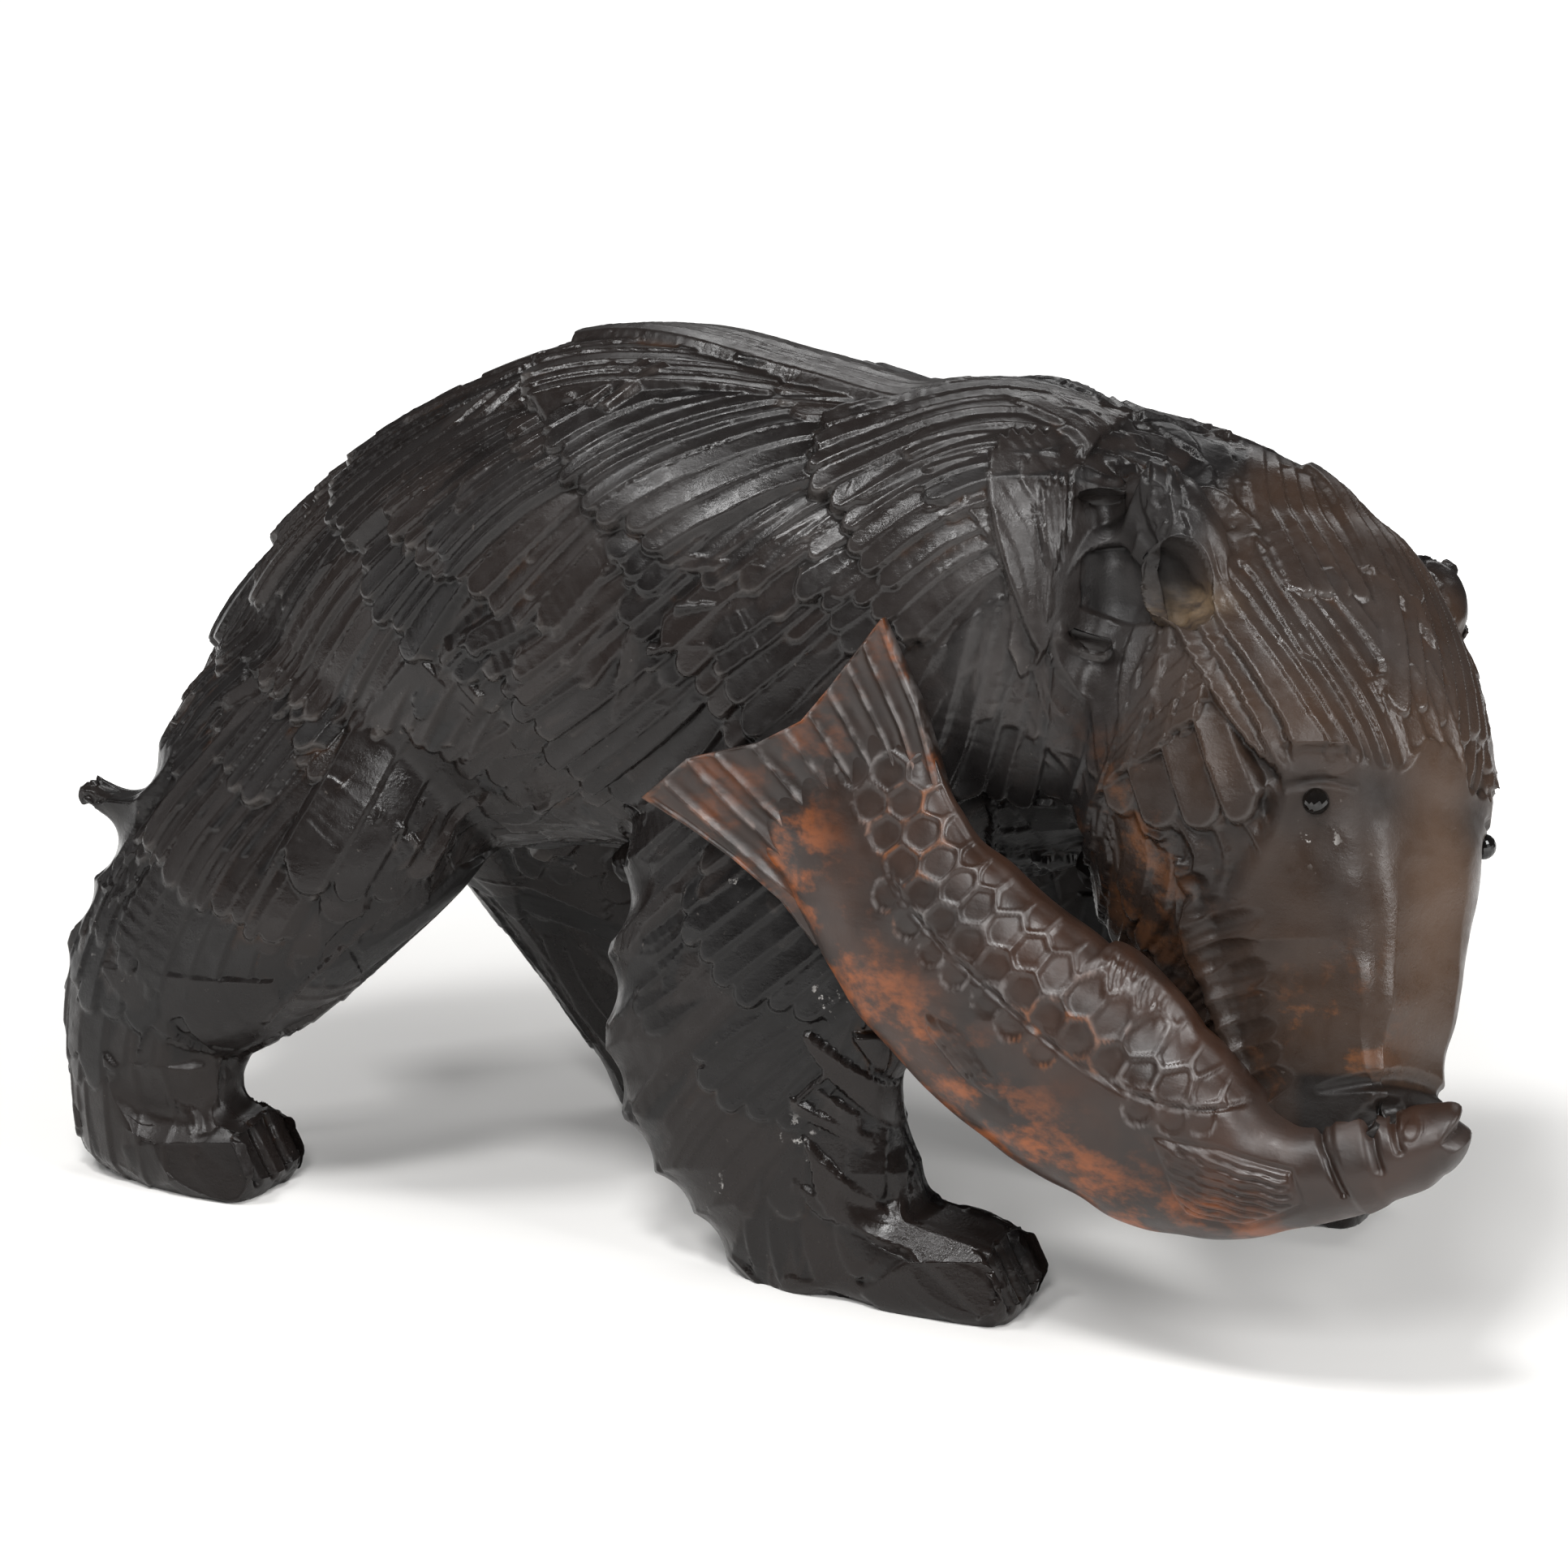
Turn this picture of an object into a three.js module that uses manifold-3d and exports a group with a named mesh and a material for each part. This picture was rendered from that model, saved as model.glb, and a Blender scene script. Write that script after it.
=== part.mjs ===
// A carved wooden bear, walking, with a salmon held crosswise in its mouth.
// The bear and the fish are one block of wood. Each eye is a glass bead on a wire stem, pushed into
// a drilled socket. Millimetres, +X the way the bear walks, +Y its left side, +Z up.
import * as THREE from "three";
import { mergeVertices } from "three/addons/utils/BufferGeometryUtils.js";
import Module from "manifold-3d";

const wasm = await Module();
wasm.setup();

// ---------------------------------------------------------------- driving dimensions
const SIDES = 20; // points round a loft's section
const RINGS_PER_SPAN = 2; // rings from one station to the next
const DOME_RINGS = 3; // rings in a loft's rounded end

const HEAD_AT = [168, -29, 116]; // the bridge of the nose, between the eyes
const HEAD_YAW = -22; // degrees, turned towards the bear's right
const HEAD_PITCH = -15; // degrees, the face tipped up from straight ahead
const HEAD_ROLL = -20; // degrees, the left ear down

const EYE_RADIUS = 2.7; // a glass bead of 5.4 mm
const EYE_AT = [-10, 25, 0]; // the left bead's centre in the head's frame; the right one mirrors it
const EYE_LOOK = [0.72, 0.66, 0.1]; // the way that the left eye looks, in the head's frame
const SOCKET_GAP = 0.3; // between the bead and its socket
const STEM_RADIUS = 0.5; // the eye's wire stem
const STEM_LENGTH = 12;
const STEM_IN_BEAD = 1.2; // how far the stem reaches into the bead
const FIT_GAP = 0.3; // round the stem, in the bead and in the wood

const TAIL_AT = [53, -49, 101]; // where the salmon's tail fin starts, on its inner face
const TAIL_THICKNESS = 7;

// ---------------------------------------------------------------- shapes
const point = (p) => new THREE.Vector3(...p);

// The closed skin through stations [x, y, z, half width, half depth]. The half width lies along
// `across`, and the half depth square to it and to the path. `square` is the section's exponent:
// 2 is an ellipse and more is boxier. `taper` narrows the section on its deep side, and widens it on
// the other. `domes` are the lengths of the two rounded ends.
function loft(stations, across, { square = 2.2, taper = 0, domes = [8, 8] } = {}) {
  const path = new THREE.CatmullRomCurve3(stations.map(([x, y, z]) => point([x, y, z])));
  const size = new THREE.CatmullRomCurve3(stations.map(([, , , w, d]) => point([w, d, 0])));
  const steps = (stations.length - 1) * RINGS_PER_SPAN;
  const rings = [];
  const ring = (t, scale, shift) => {
    const centre = path.getPoint(t);
    const along = path.getTangent(t);
    const wide = point(across).addScaledVector(along, -along.dot(point(across))).normalize();
    const deep = new THREE.Vector3().crossVectors(along, wide);
    const { x: w, y: d } = size.getPoint(t);
    centre.addScaledVector(along, shift);
    const power = 2 / square;
    rings.push(
      Array.from({ length: SIDES }, (_, i) => {
        const turn = (2 * Math.PI * i) / SIDES;
        const c = Math.sign(Math.cos(turn)) * Math.abs(Math.cos(turn)) ** power;
        const s = Math.sign(Math.sin(turn)) * Math.abs(Math.sin(turn)) ** power;
        const reach = w * c * (1 - taper * s) * scale;
        return centre.clone().addScaledVector(wide, reach).addScaledVector(deep, d * s * scale);
      }),
    );
  };
  for (let k = 0; k < DOME_RINGS; k++) {
    const rise = (Math.PI / 2) * (1 - (k + 0.4) / (DOME_RINGS + 0.4));
    ring(0, Math.cos(rise), -domes[0] * Math.sin(rise));
  }
  for (let k = 0; k <= steps; k++) ring(k / steps, 1, 0);
  for (let k = DOME_RINGS - 1; k >= 0; k--) {
    const rise = (Math.PI / 2) * (1 - (k + 0.4) / (DOME_RINGS + 0.4));
    ring(1, Math.cos(rise), domes[1] * Math.sin(rise));
  }
  const start = path.getPoint(0).addScaledVector(path.getTangent(0), -domes[0]);
  const end = path.getPoint(1).addScaledVector(path.getTangent(1), domes[1]);
  const points = [...rings.flat(), start, end];
  const last = (rings.length - 1) * SIDES;
  const faces = [];
  for (let j = 0; j < SIDES; j++) {
    const next = (j + 1) % SIDES;
    faces.push(points.length - 2, next, j);
    faces.push(last + j, last + next, points.length - 1);
    for (let row = 0; row < last; row += SIDES) {
      faces.push(row + j, row + next, row + SIDES + next);
      faces.push(row + j, row + SIDES + next, row + SIDES + j);
    }
  }
  return new THREE.BufferGeometry().setFromPoints(points).setIndex(faces);
}

function ellipsoid(centre, radii) {
  return new THREE.SphereGeometry(1, SIDES, SIDES / 2).scale(...radii).translate(...centre);
}

// ---------------------------------------------------------------- joining and cutting
function solid(geometry) {
  const bare = geometry.clone();
  for (const name of Object.keys(bare.attributes)) if (name !== "position") bare.deleteAttribute(name);
  const merged = mergeVertices(bare, 1e-4);
  return new wasm.Manifold(
    new wasm.Mesh({
      numProp: 3,
      vertProperties: new Float32Array(merged.getAttribute("position").array),
      triVerts: new Uint32Array(merged.index.array),
    }),
  );
}

function geometryOf(manifold) {
  const mesh = manifold.getMesh();
  return new THREE.BufferGeometry()
    .setAttribute("position", new THREE.BufferAttribute(mesh.vertProperties, mesh.numProp))
    .setIndex(new THREE.BufferAttribute(mesh.triVerts, 1));
}

const union = (geometries) => geometries.map(solid).reduce((whole, next) => whole.add(next));

// ---------------------------------------------------------------- the bear's body
// The spine rises over the hips, dips behind the shoulders and falls to the neck.
function torso() {
  const stations = [
    [-149, 0, 93, 7, 8],
    [-138, 0, 96, 19, 22],
    [-122, 0, 101, 29, 34],
    [-102, 0, 110, 38, 43],
    [-79, 0, 122, 46, 50],
    [-50, 0, 134, 51, 56],
    [-20, 0, 140, 52, 60],
    [12, 0, 139, 49, 58],
    [42, 0, 138, 47, 55],
    [66, 0, 141, 46, 55],
    [86, 0, 142, 43, 49],
  ];
  return loft(stations, [0, 1, 0], { domes: [7, 12], square: 2.15 });
}

// The nape joins the withers to the crown, inside the ruff that stands round the head.
function nape() {
  const stations = [
    [60, 1, 141, 36, 53],
    [88, 3, 143, 33, 47],
    [108, 8, 141, 31, 43],
    [122, 13, 136, 27, 38],
  ];
  return loft(stations, [0, 1, 0], { domes: [10, 8], square: 2 });
}

// A leg runs from inside the body down into the paw, and its sole is cut flat at the ground.
function leg(stations, paw) {
  return [
    loft(stations, [1, 0, 0], { domes: [10, 5], square: 2.4 }),
    loft(paw, [0, 1, 0], { domes: [5, 4], square: 2.8 }),
  ];
}

function rightHindLeg() {
  return leg(
    [
      [-88, -16, 118, 34, 26],
      [-95, -26, 97, 43, 27],
      [-106, -37, 77, 38, 25],
      [-120, -43, 60, 33, 20],
      [-132, -46, 45, 26, 17],
      [-135, -47, 33, 23, 16],
      [-133, -47, 18, 24, 16],
      [-132, -47, 6, 23, 15],
    ],
    [
      [-143, -47, 8, 13, 10],
      [-129, -47, 9, 15.5, 12.5],
      [-114, -47, 8.5, 16.5, 12.5],
      [-103, -47, 6, 15.5, 9.5],
    ],
  );
}

function leftHindLeg() {
  return leg(
    [
      [-80, 18, 114, 34, 26],
      [-74, 28, 88, 38, 25],
      [-66, 38, 62, 31, 20],
      [-57, 42, 42, 26, 16],
      [-44, 44, 24, 25, 15],
      [-37, 45, 6, 23, 15],
    ],
    [
      [-50, 45, 8, 13, 10],
      [-34, 45, 9, 15.5, 12.5],
      [-18, 45, 8.5, 16.5, 12.5],
      [-7, 45, 6, 15.5, 9.5],
    ],
  );
}

function rightForeleg() {
  return leg(
    [
      [46, -18, 140, 36, 26],
      [34, -27, 112, 39, 24],
      [25, -34, 84, 38, 21],
      [21, -38, 60, 38, 18],
      [22, -39, 42, 37, 16],
      [31, -39, 24, 30, 15.5],
      [45, -39, 6, 23, 15],
    ],
    [
      [40, -39, 6, 12, 8],
      [54, -39, 8, 15, 12.5],
      [70, -38, 8, 16, 12.5],
      [82, -37, 5.5, 15, 10],
    ],
  );
}

function leftForeleg() {
  return leg(
    [
      [62, 18, 132, 36, 26],
      [66, 28, 106, 34, 24],
      [73, 36, 80, 32, 20],
      [80, 42, 54, 29, 17],
      [86, 47, 30, 27, 15],
      [92, 51, 6, 24, 14],
    ],
    [
      [85, 52, 6, 12, 8],
      [101, 52, 8, 14, 12.5],
      [117, 52, 8, 14.5, 12.5],
      [129, 52, 6, 14, 10.5],
    ],
  );
}

// ---------------------------------------------------------------- the bear's head
// The head's frame has +X out of the face, +Y to the bear's left and +Z up the forehead.
const headFrame = new THREE.Matrix4()
  .makeRotationFromEuler(
    new THREE.Euler(...[HEAD_ROLL, HEAD_PITCH, HEAD_YAW].map(THREE.MathUtils.degToRad), "ZYX"),
  )
  .setPosition(...HEAD_AT);

function head() {
  const skullAndMuzzle = loft(
    [
      [-53, 0, 64, 27, 18],
      [-46, 0, 50, 36, 28],
      [-43, 0, 30, 43, 37],
      [-42, 0, 8, 42, 41],
      [-38, 0, -12, 35, 37],
      [-29, 0, -28, 25, 28],
      [-22, 0, -46, 18.5, 21],
      [-18, 0, -63, 15, 17],
    ],
    [0, 1, 0],
    { domes: [7, 7], square: 2.6, taper: 0.18 },
  );
  const jaw = loft(
    [
      [-54, 0, 0, 38, 26],
      [-52, 0, -20, 31, 24],
      [-45, 0, -38, 21, 17],
      [-36, 0, -53, 15, 12],
    ],
    [0, 1, 0],
    { domes: [8, 6] },
  );
  const brows = [-1, 1].map((side) => ellipsoid([-11, side * 17, 9], [8, 14, 8]));
  const ears = [-1, 1].map((side) =>
    loft(
      [
        [-38, side * 28, 38, 17, 10],
        [-41, side * 35, 52, 18, 9],
        [-44, side * 40, 64, 14, 7],
      ],
      [1, side * 0.2, 0],
      { domes: [5, 6] },
    ),
  );
  return [skullAndMuzzle, jaw, ...brows, ...ears].map((shape) => shape.applyMatrix4(headFrame));
}

// ---------------------------------------------------------------- the salmon
// Its tail lies on the bear's right shoulder. It runs down past the foreleg and through the mouth.
// A station's half width is half the fish's depth, and its half depth is half its thickness.
function salmonBody() {
  return loft(
    [
      [43, -51, 120, 25, 4],
      [56.7, -54, 100, 22, 8],
      [71.5, -55, 84, 24, 12],
      [97.5, -56, 66, 25, 13.5],
      [128, -56, 51, 20.5, 13.5],
      [150.5, -56, 47.5, 12, 12],
      [167, -55, 51.5, 10.5, 10.5],
      [180, -53.5, 57, 7.5, 7.5],
    ],
    [0.71, 0, 0.7],
    { domes: [4, 5], square: 2.2 },
  );
}

// The forked tail is a flat plate. Its shape is drawn with X across the fish and Y towards the fork.
function salmonTail() {
  const outline = new THREE.Shape([
    new THREE.Vector2(-21, 0),
    new THREE.Vector2(-27, 18),
    new THREE.Vector2(-36, 36),
    new THREE.Vector2(-18, 34),
    new THREE.Vector2(0, 29),
    new THREE.Vector2(18, 34),
    new THREE.Vector2(36, 36),
    new THREE.Vector2(27, 18),
    new THREE.Vector2(21, 0),
  ]);
  const plate = new THREE.ExtrudeGeometry(outline, { depth: TAIL_THICKNESS, bevelEnabled: false });
  const across = point([0.79, 0, 0.61]);
  const outward = point([0, -1, 0]);
  const along = new THREE.Vector3().crossVectors(outward, across);
  plate.applyMatrix4(new THREE.Matrix4().makeBasis(across, along, outward).setPosition(...TAIL_AT));
  return plate;
}

// ---------------------------------------------------------------- the eyes
// Each eye is built looking along +Z at its own origin and turned into place.
function eyeFrame(side) {
  const look = new THREE.Vector3(EYE_LOOK[0], side * EYE_LOOK[1], EYE_LOOK[2]).normalize();
  const turn = new THREE.Quaternion().setFromUnitVectors(point([0, 0, 1]), look);
  const place = new THREE.Matrix4().makeRotationFromQuaternion(turn);
  place.setPosition(EYE_AT[0], side * EYE_AT[1], EYE_AT[2]);
  return place.premultiply(headFrame);
}

const stemTop = -EYE_RADIUS + STEM_IN_BEAD;

function pinShape(radius, top, length) {
  return new THREE.CylinderGeometry(radius, radius, length, 12)
    .rotateX(Math.PI / 2)
    .translate(0, 0, top - length / 2);
}

function socketCuts(frame) {
  const cup = new THREE.SphereGeometry(EYE_RADIUS + SOCKET_GAP, 20, 12);
  const bore = pinShape(STEM_RADIUS + FIT_GAP, stemTop, STEM_LENGTH + FIT_GAP);
  return [cup, bore].map((shape) => shape.applyMatrix4(frame));
}

function eyeBead(frame) {
  const ball = solid(new THREE.SphereGeometry(EYE_RADIUS, 20, 12));
  const bore = solid(pinShape(STEM_RADIUS + FIT_GAP, stemTop + FIT_GAP, STEM_LENGTH));
  return geometryOf(ball.subtract(bore)).applyMatrix4(frame);
}

function eyeStem(frame) {
  return pinShape(STEM_RADIUS, stemTop, STEM_LENGTH).applyMatrix4(frame);
}

// ---------------------------------------------------------------- materials
const wood = new THREE.MeshStandardMaterial({ color: 0x2b2420, roughness: 0.55, metalness: 0 });
const glass = new THREE.MeshStandardMaterial({ color: 0x0a0706, roughness: 0.05, metalness: 0 });
const wire = new THREE.MeshStandardMaterial({ color: 0x5a5652, roughness: 0.5, metalness: 1 });

// ---------------------------------------------------------------- assembly
function carvedBlock() {
  const block = union([
    torso(),
    nape(),
    ...rightHindLeg(),
    ...leftHindLeg(),
    ...rightForeleg(),
    ...leftForeleg(),
    ...head(),
    salmonBody(),
    salmonTail(),
  ]);
  const ground = solid(new THREE.BoxGeometry(600, 400, 60).translate(0, 0, -30));
  const cuts = [1, -1].flatMap((side) => socketCuts(eyeFrame(side)));
  return geometryOf(block.subtract(ground).subtract(union(cuts)));
}

function named(name, geometry, material) {
  const mesh = new THREE.Mesh(geometry, material);
  mesh.name = name;
  return mesh;
}

const figurine = new THREE.Group();
figurine.add(named("carved_block", carvedBlock(), wood));
for (const [name, side] of [["left", 1], ["right", -1]]) {
  figurine.add(named(`${name}_eye_bead`, eyeBead(eyeFrame(side)), glass));
  figurine.add(named(`${name}_eye_stem`, eyeStem(eyeFrame(side)), wire));
}

// The part's origin is the middle of its underside.
const box = new THREE.Box3().setFromObject(figurine);
const middle = box.getCenter(new THREE.Vector3());
figurine.position.set(-middle.x, -middle.y, -box.min.z);
figurine.updateMatrixWorld(true);

export default figurine;
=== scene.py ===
"""A carved wooden bear with a salmon in its mouth: the finished look, on the frame of the CAD model."""

import itertools
import math

import bpy
import numpy as np
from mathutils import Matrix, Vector
from mathutils.bvhtree import BVHTree


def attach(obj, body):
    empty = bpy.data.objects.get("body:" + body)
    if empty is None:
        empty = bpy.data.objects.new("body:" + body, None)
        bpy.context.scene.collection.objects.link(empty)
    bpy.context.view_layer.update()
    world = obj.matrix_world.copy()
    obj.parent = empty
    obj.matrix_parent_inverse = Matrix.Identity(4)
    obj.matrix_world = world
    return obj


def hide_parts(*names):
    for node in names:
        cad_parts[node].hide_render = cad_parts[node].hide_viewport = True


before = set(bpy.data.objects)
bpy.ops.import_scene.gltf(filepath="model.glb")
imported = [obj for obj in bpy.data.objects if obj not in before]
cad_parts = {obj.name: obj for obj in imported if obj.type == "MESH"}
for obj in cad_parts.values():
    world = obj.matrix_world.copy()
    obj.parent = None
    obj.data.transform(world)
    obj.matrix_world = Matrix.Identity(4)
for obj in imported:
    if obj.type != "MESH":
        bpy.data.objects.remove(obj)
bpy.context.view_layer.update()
rng = np.random.default_rng(7)

# ---------------------------------------------------------------- the carving's own frame
# Shapes are drawn in millimetres in the carver's frame, which ORIGIN moves to the row frame.
ORIGIN = np.array([-13.771, 1.652, 0.0])
METRES = 0.001
BASE_VOXEL = 2.2
SUBDIVISIONS = 2
SWELL = 2.6  # the uncut block stands this far out of the CAD's mean surface

HEAD_AT = np.array([168.0, -29.0, 116.0])
HEAD_YAW, HEAD_PITCH, HEAD_ROLL = -22, -15, -20


def unit(v):
    v = np.asarray(v, float)
    return v / np.maximum(np.linalg.norm(v, axis=-1, keepdims=True), 1e-9)


def turn(axis, degrees):
    c, s = math.cos(math.radians(degrees)), math.sin(math.radians(degrees))
    rows = {
        "x": [[1, 0, 0], [0, c, -s], [0, s, c]],
        "y": [[c, 0, s], [0, 1, 0], [-s, 0, c]],
        "z": [[c, -s, 0], [s, c, 0], [0, 0, 1]],
    }
    return np.array(rows[axis])


HEAD_TURN = turn("z", HEAD_YAW) @ turn("y", HEAD_PITCH) @ turn("x", HEAD_ROLL)


def from_head(points):
    return np.asarray(points, float) @ HEAD_TURN.T + HEAD_AT


def to_head(points):
    return (points - HEAD_AT) @ HEAD_TURN


# ---------------------------------------------------------------- lofts
def curve_through(stations, count):
    """count rows on the Catmull-Rom curve through the stations."""
    s = np.asarray(stations, float)
    ends = np.vstack([2 * s[0] - s[1], s, 2 * s[-1] - s[-2]])
    t = np.linspace(0, len(s) - 1, count)
    i = np.minimum(t.astype(int), len(s) - 2)
    f = (t - i)[:, None]
    a, b, c, d = (ends[i + k] for k in range(4))
    return 0.5 * (2 * b + (c - a) * f + (2 * a - 5 * b + 4 * c - d) * f**2 + (3 * b - a - 3 * c + d) * f**3)


def loft(stations, across, square=2.2, taper=0.0, domes=(8, 8), sides=40, per_span=5, dome_rings=6):
    """The closed skin through stations (x, y, z, half width, half depth)."""
    rows = curve_through(stations, (len(stations) - 1) * per_span + 1)
    path, half = rows[:, :3], rows[:, 3:]
    along = unit(np.gradient(path, axis=0))
    tips = np.array([path[0] - along[0] * domes[0], path[-1] + along[-1] * domes[1]])
    rise = np.pi / 2 * (1 - (np.arange(dome_rings) + 0.4) / (dome_rings + 0.4))
    up, down = np.sin(rise)[:, None], np.sin(rise[::-1])[:, None]
    start, end = path[0] + (tips[0] - path[0]) * up, path[-1] + (tips[1] - path[-1]) * down
    centre = np.vstack([start, path, end])
    scale = np.concatenate([np.cos(rise), np.ones(len(path)), np.cos(rise[::-1])])
    which = np.clip(np.arange(len(centre)) - dome_rings, 0, len(path) - 1)
    tangent, half = along[which], half[which]
    wide = np.asarray(across, float)
    wide = unit(wide - tangent * (tangent @ wide)[:, None])
    deep = np.cross(tangent, wide)
    angle = 2 * np.pi * np.arange(sides) / sides
    c, s = (np.sign(f(angle)) * np.abs(f(angle)) ** (2 / square) for f in (np.cos, np.sin))
    reach = half[:, :1] * (c * (1 - taper * s)) * scale[:, None]
    depth = half[:, 1:] * s * scale[:, None]
    ring = centre[:, None] + wide[:, None] * reach[..., None] + deep[:, None] * depth[..., None]
    row, j = np.meshgrid(np.arange(len(centre) - 1) * sides, np.arange(sides), indexing="ij")
    after = (j + 1) % sides
    quads = np.stack([row + j, row + after, row + sides + after, row + sides + j], -1).reshape(-1, 4)
    last, tip = (len(centre) - 1) * sides, len(centre) * sides
    pairs = [(a, (a + 1) % sides) for a in range(sides)]
    caps = [(tip, b, a) for a, b in pairs] + [(last + a, last + b, tip + 1) for a, b in pairs]
    return np.vstack([ring.reshape(-1, 3), tips]), [tuple(q) for q in quads] + caps


def ball(centre, radii, rings=16, sides=28):
    """A closed ellipsoid."""
    lat = np.linspace(0, np.pi, rings + 1)[1:-1, None]
    lon = 2 * np.pi * np.arange(sides) / sides
    ring = np.stack([np.sin(lat) * np.cos(lon), np.sin(lat) * np.sin(lon), np.cos(lat) + 0 * lon], -1)
    points = np.vstack([ring.reshape(-1, 3), [[0, 0, 1], [0, 0, -1]]]) * radii + centre
    last, top = (rings - 2) * sides, (rings - 1) * sides
    pairs = [(j, (j + 1) % sides) for j in range(sides)]
    faces = [(r + j, r + sides + j, r + sides + n, r + n) for r in range(0, last, sides) for j, n in pairs]
    for j, n in pairs:
        faces += [(top, j, n), (top + 1, last + n, last + j)]
    return points, faces


# ---------------------------------------------------------------- the rough block


# Stations are (x, y, z, half width, half depth), all in the carver's frame or the head's.
TRUNK = [
    (-149, 0, 93, 7, 8), (-138, 0, 96, 19, 22), (-122, 0, 101, 29, 34), (-102, 0, 110, 38, 43),
    (-79, 0, 122, 46, 50), (-50, 0, 134, 51, 56), (-20, 0, 140, 52, 60), (12, 0, 139, 49, 58),
    (42, 0, 138, 47, 55), (66, 0, 141, 46, 55), (86, 0, 142, 43, 49),
]
NECK = [(60, 1, 141, 36, 53), (88, 3, 143, 33, 47), (108, 8, 141, 31, 43), (122, 13, 136, 27, 38)]
# each leg, then its paw
LEGS = [
    (
        [
            (-88, -16, 118, 34, 26), (-95, -26, 97, 43, 27), (-106, -37, 77, 38, 25), (-120, -43, 60, 33, 20),
            (-132, -46, 45, 26, 17), (-135, -47, 33, 23, 16), (-133, -47, 18, 24, 16), (-132, -47, 6, 23, 15),
        ],
        [
            (-143, -47, 8, 13, 10), (-129, -47, 9, 15.5, 12.5), (-114, -47, 8.5, 16.5, 12.5),
            (-103, -47, 6, 15.5, 9.5),
        ],
    ),
    (
        [
            (-80, 18, 114, 34, 26), (-74, 28, 88, 38, 25), (-66, 38, 62, 31, 20), (-57, 42, 42, 26, 16),
            (-44, 44, 24, 25, 15), (-37, 45, 6, 23, 15),
        ],
        [(-50, 45, 8, 13, 10), (-34, 45, 9, 15.5, 12.5), (-18, 45, 8.5, 16.5, 12.5), (-7, 45, 6, 15.5, 9.5)],
    ),
    (
        [
            (46, -18, 140, 36, 26), (34, -27, 112, 39, 24), (25, -34, 84, 38, 21), (21, -38, 60, 38, 18),
            (22, -39, 42, 37, 16), (31, -39, 24, 30, 15.5), (45, -39, 6, 23, 15),
        ],
        [(40, -39, 6, 12, 8), (54, -39, 8, 15, 12.5), (70, -38, 8, 16, 12.5), (82, -37, 5.5, 15, 10)],
    ),
    (
        [
            (62, 18, 132, 36, 26), (66, 28, 106, 34, 24), (73, 36, 80, 32, 20), (80, 42, 54, 29, 17),
            (86, 47, 30, 27, 15), (92, 51, 6, 24, 14),
        ],
        [(85, 52, 6, 12, 8), (101, 52, 8, 14, 12.5), (117, 52, 8, 14.5, 12.5), (129, 52, 6, 14, 10.5)],
    ),
]
SKULL = [
    (-53, 0, 64, 27, 18), (-46, 0, 50, 36, 28), (-43, 0, 30, 43, 37), (-42, 0, 8, 42, 41),
    (-42, 0, -12, 35, 33), (-42, 0, -28, 25, 22),
]
MUZZLE = [
    (-31, 0, 8, 31, 27), (-27, 0, -12, 28, 27), (-23, 0, -30, 21.5, 23.5), (-19, 0, -48, 17.5, 19.5),
    (-17, 0, -63, 15.5, 17),
]
JAW = [(-54, 0, 0, 38, 26), (-52, 0, -20, 31, 24), (-45, 0, -38, 21, 17), (-36, 0, -53, 15, 12)]
THIGH_TUFT = [
    (-124, -32, 82, 20, 14), (-136, -39, 84, 15, 10), (-146, -43, 87, 8.5, 6), (-152, -45, 90, 4, 3.5),
]
TAIL_STUB = [(-140, 0, 101, 7, 7), (-150, -1, 99, 6, 6), (-156, -2, 95, 3.5, 3.5)]
SIDEWAYS = (0, 1, 0)


def rough_block():
    """Closed overlapping shapes that together are the uncut bear."""
    shapes = [
        loft(TRUNK, SIDEWAYS, square=2.15, domes=(7, 12)),
        loft(NECK, SIDEWAYS, square=2, domes=(10, 8)),
    ]
    for stations, paw in LEGS:
        shapes.append(loft(stations, (1, 0, 0), square=2.4, domes=(10, 5)))
        shapes.append(loft(paw, SIDEWAYS, square=2.8, domes=(5, 4)))
    head = [
        loft(SKULL, SIDEWAYS, square=2.6, taper=0.18, domes=(7, 7)),
        loft(MUZZLE, SIDEWAYS, square=5, taper=0.30, domes=(4, 7)),
        loft(JAW, SIDEWAYS, domes=(8, 6)),
    ]
    for side in (-1, 1):
        head.append(ball((-12, side * 15, 12), (9, 14, 8)))
        ear = [(-43, side * 28, 38, 15, 10), (-46, side * 35, 52, 16, 9), (-49, side * 41, 65, 12, 7)]
        head.append(loft(ear, (1, side * 0.2, 0), domes=(5, 6)))
    shapes += [(from_head(points), faces) for points, faces in head]
    return shapes + [loft(THIGH_TUFT, SIDEWAYS, domes=(3, 2)), loft(TAIL_STUB, SIDEWAYS, domes=(3, 3))]


# ---------------------------------------------------------------- meshes
def new_mesh(name, points, faces):
    mesh = bpy.data.meshes.new(name)
    mesh.from_pydata((np.asarray(points) + ORIGIN) * METRES, [], faces)
    mesh.update()
    piece = bpy.data.objects.new(name, mesh)
    bpy.context.scene.collection.objects.link(piece)
    return piece


def read_points(mesh):
    flat = np.empty(len(mesh.vertices) * 3, np.float32)
    mesh.vertices.foreach_get("co", flat)
    return flat.reshape(-1, 3).astype(float) / METRES - ORIGIN


def write_points(mesh, points):
    mesh.vertices.foreach_set("co", ((points + ORIGIN) * METRES).astype(np.float32).ravel())
    mesh.update()


def read_normals(mesh):
    flat = np.empty(len(mesh.vertices) * 3, np.float32)
    mesh.vertices.foreach_get("normal", flat)
    return flat.reshape(-1, 3).astype(float)


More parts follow.
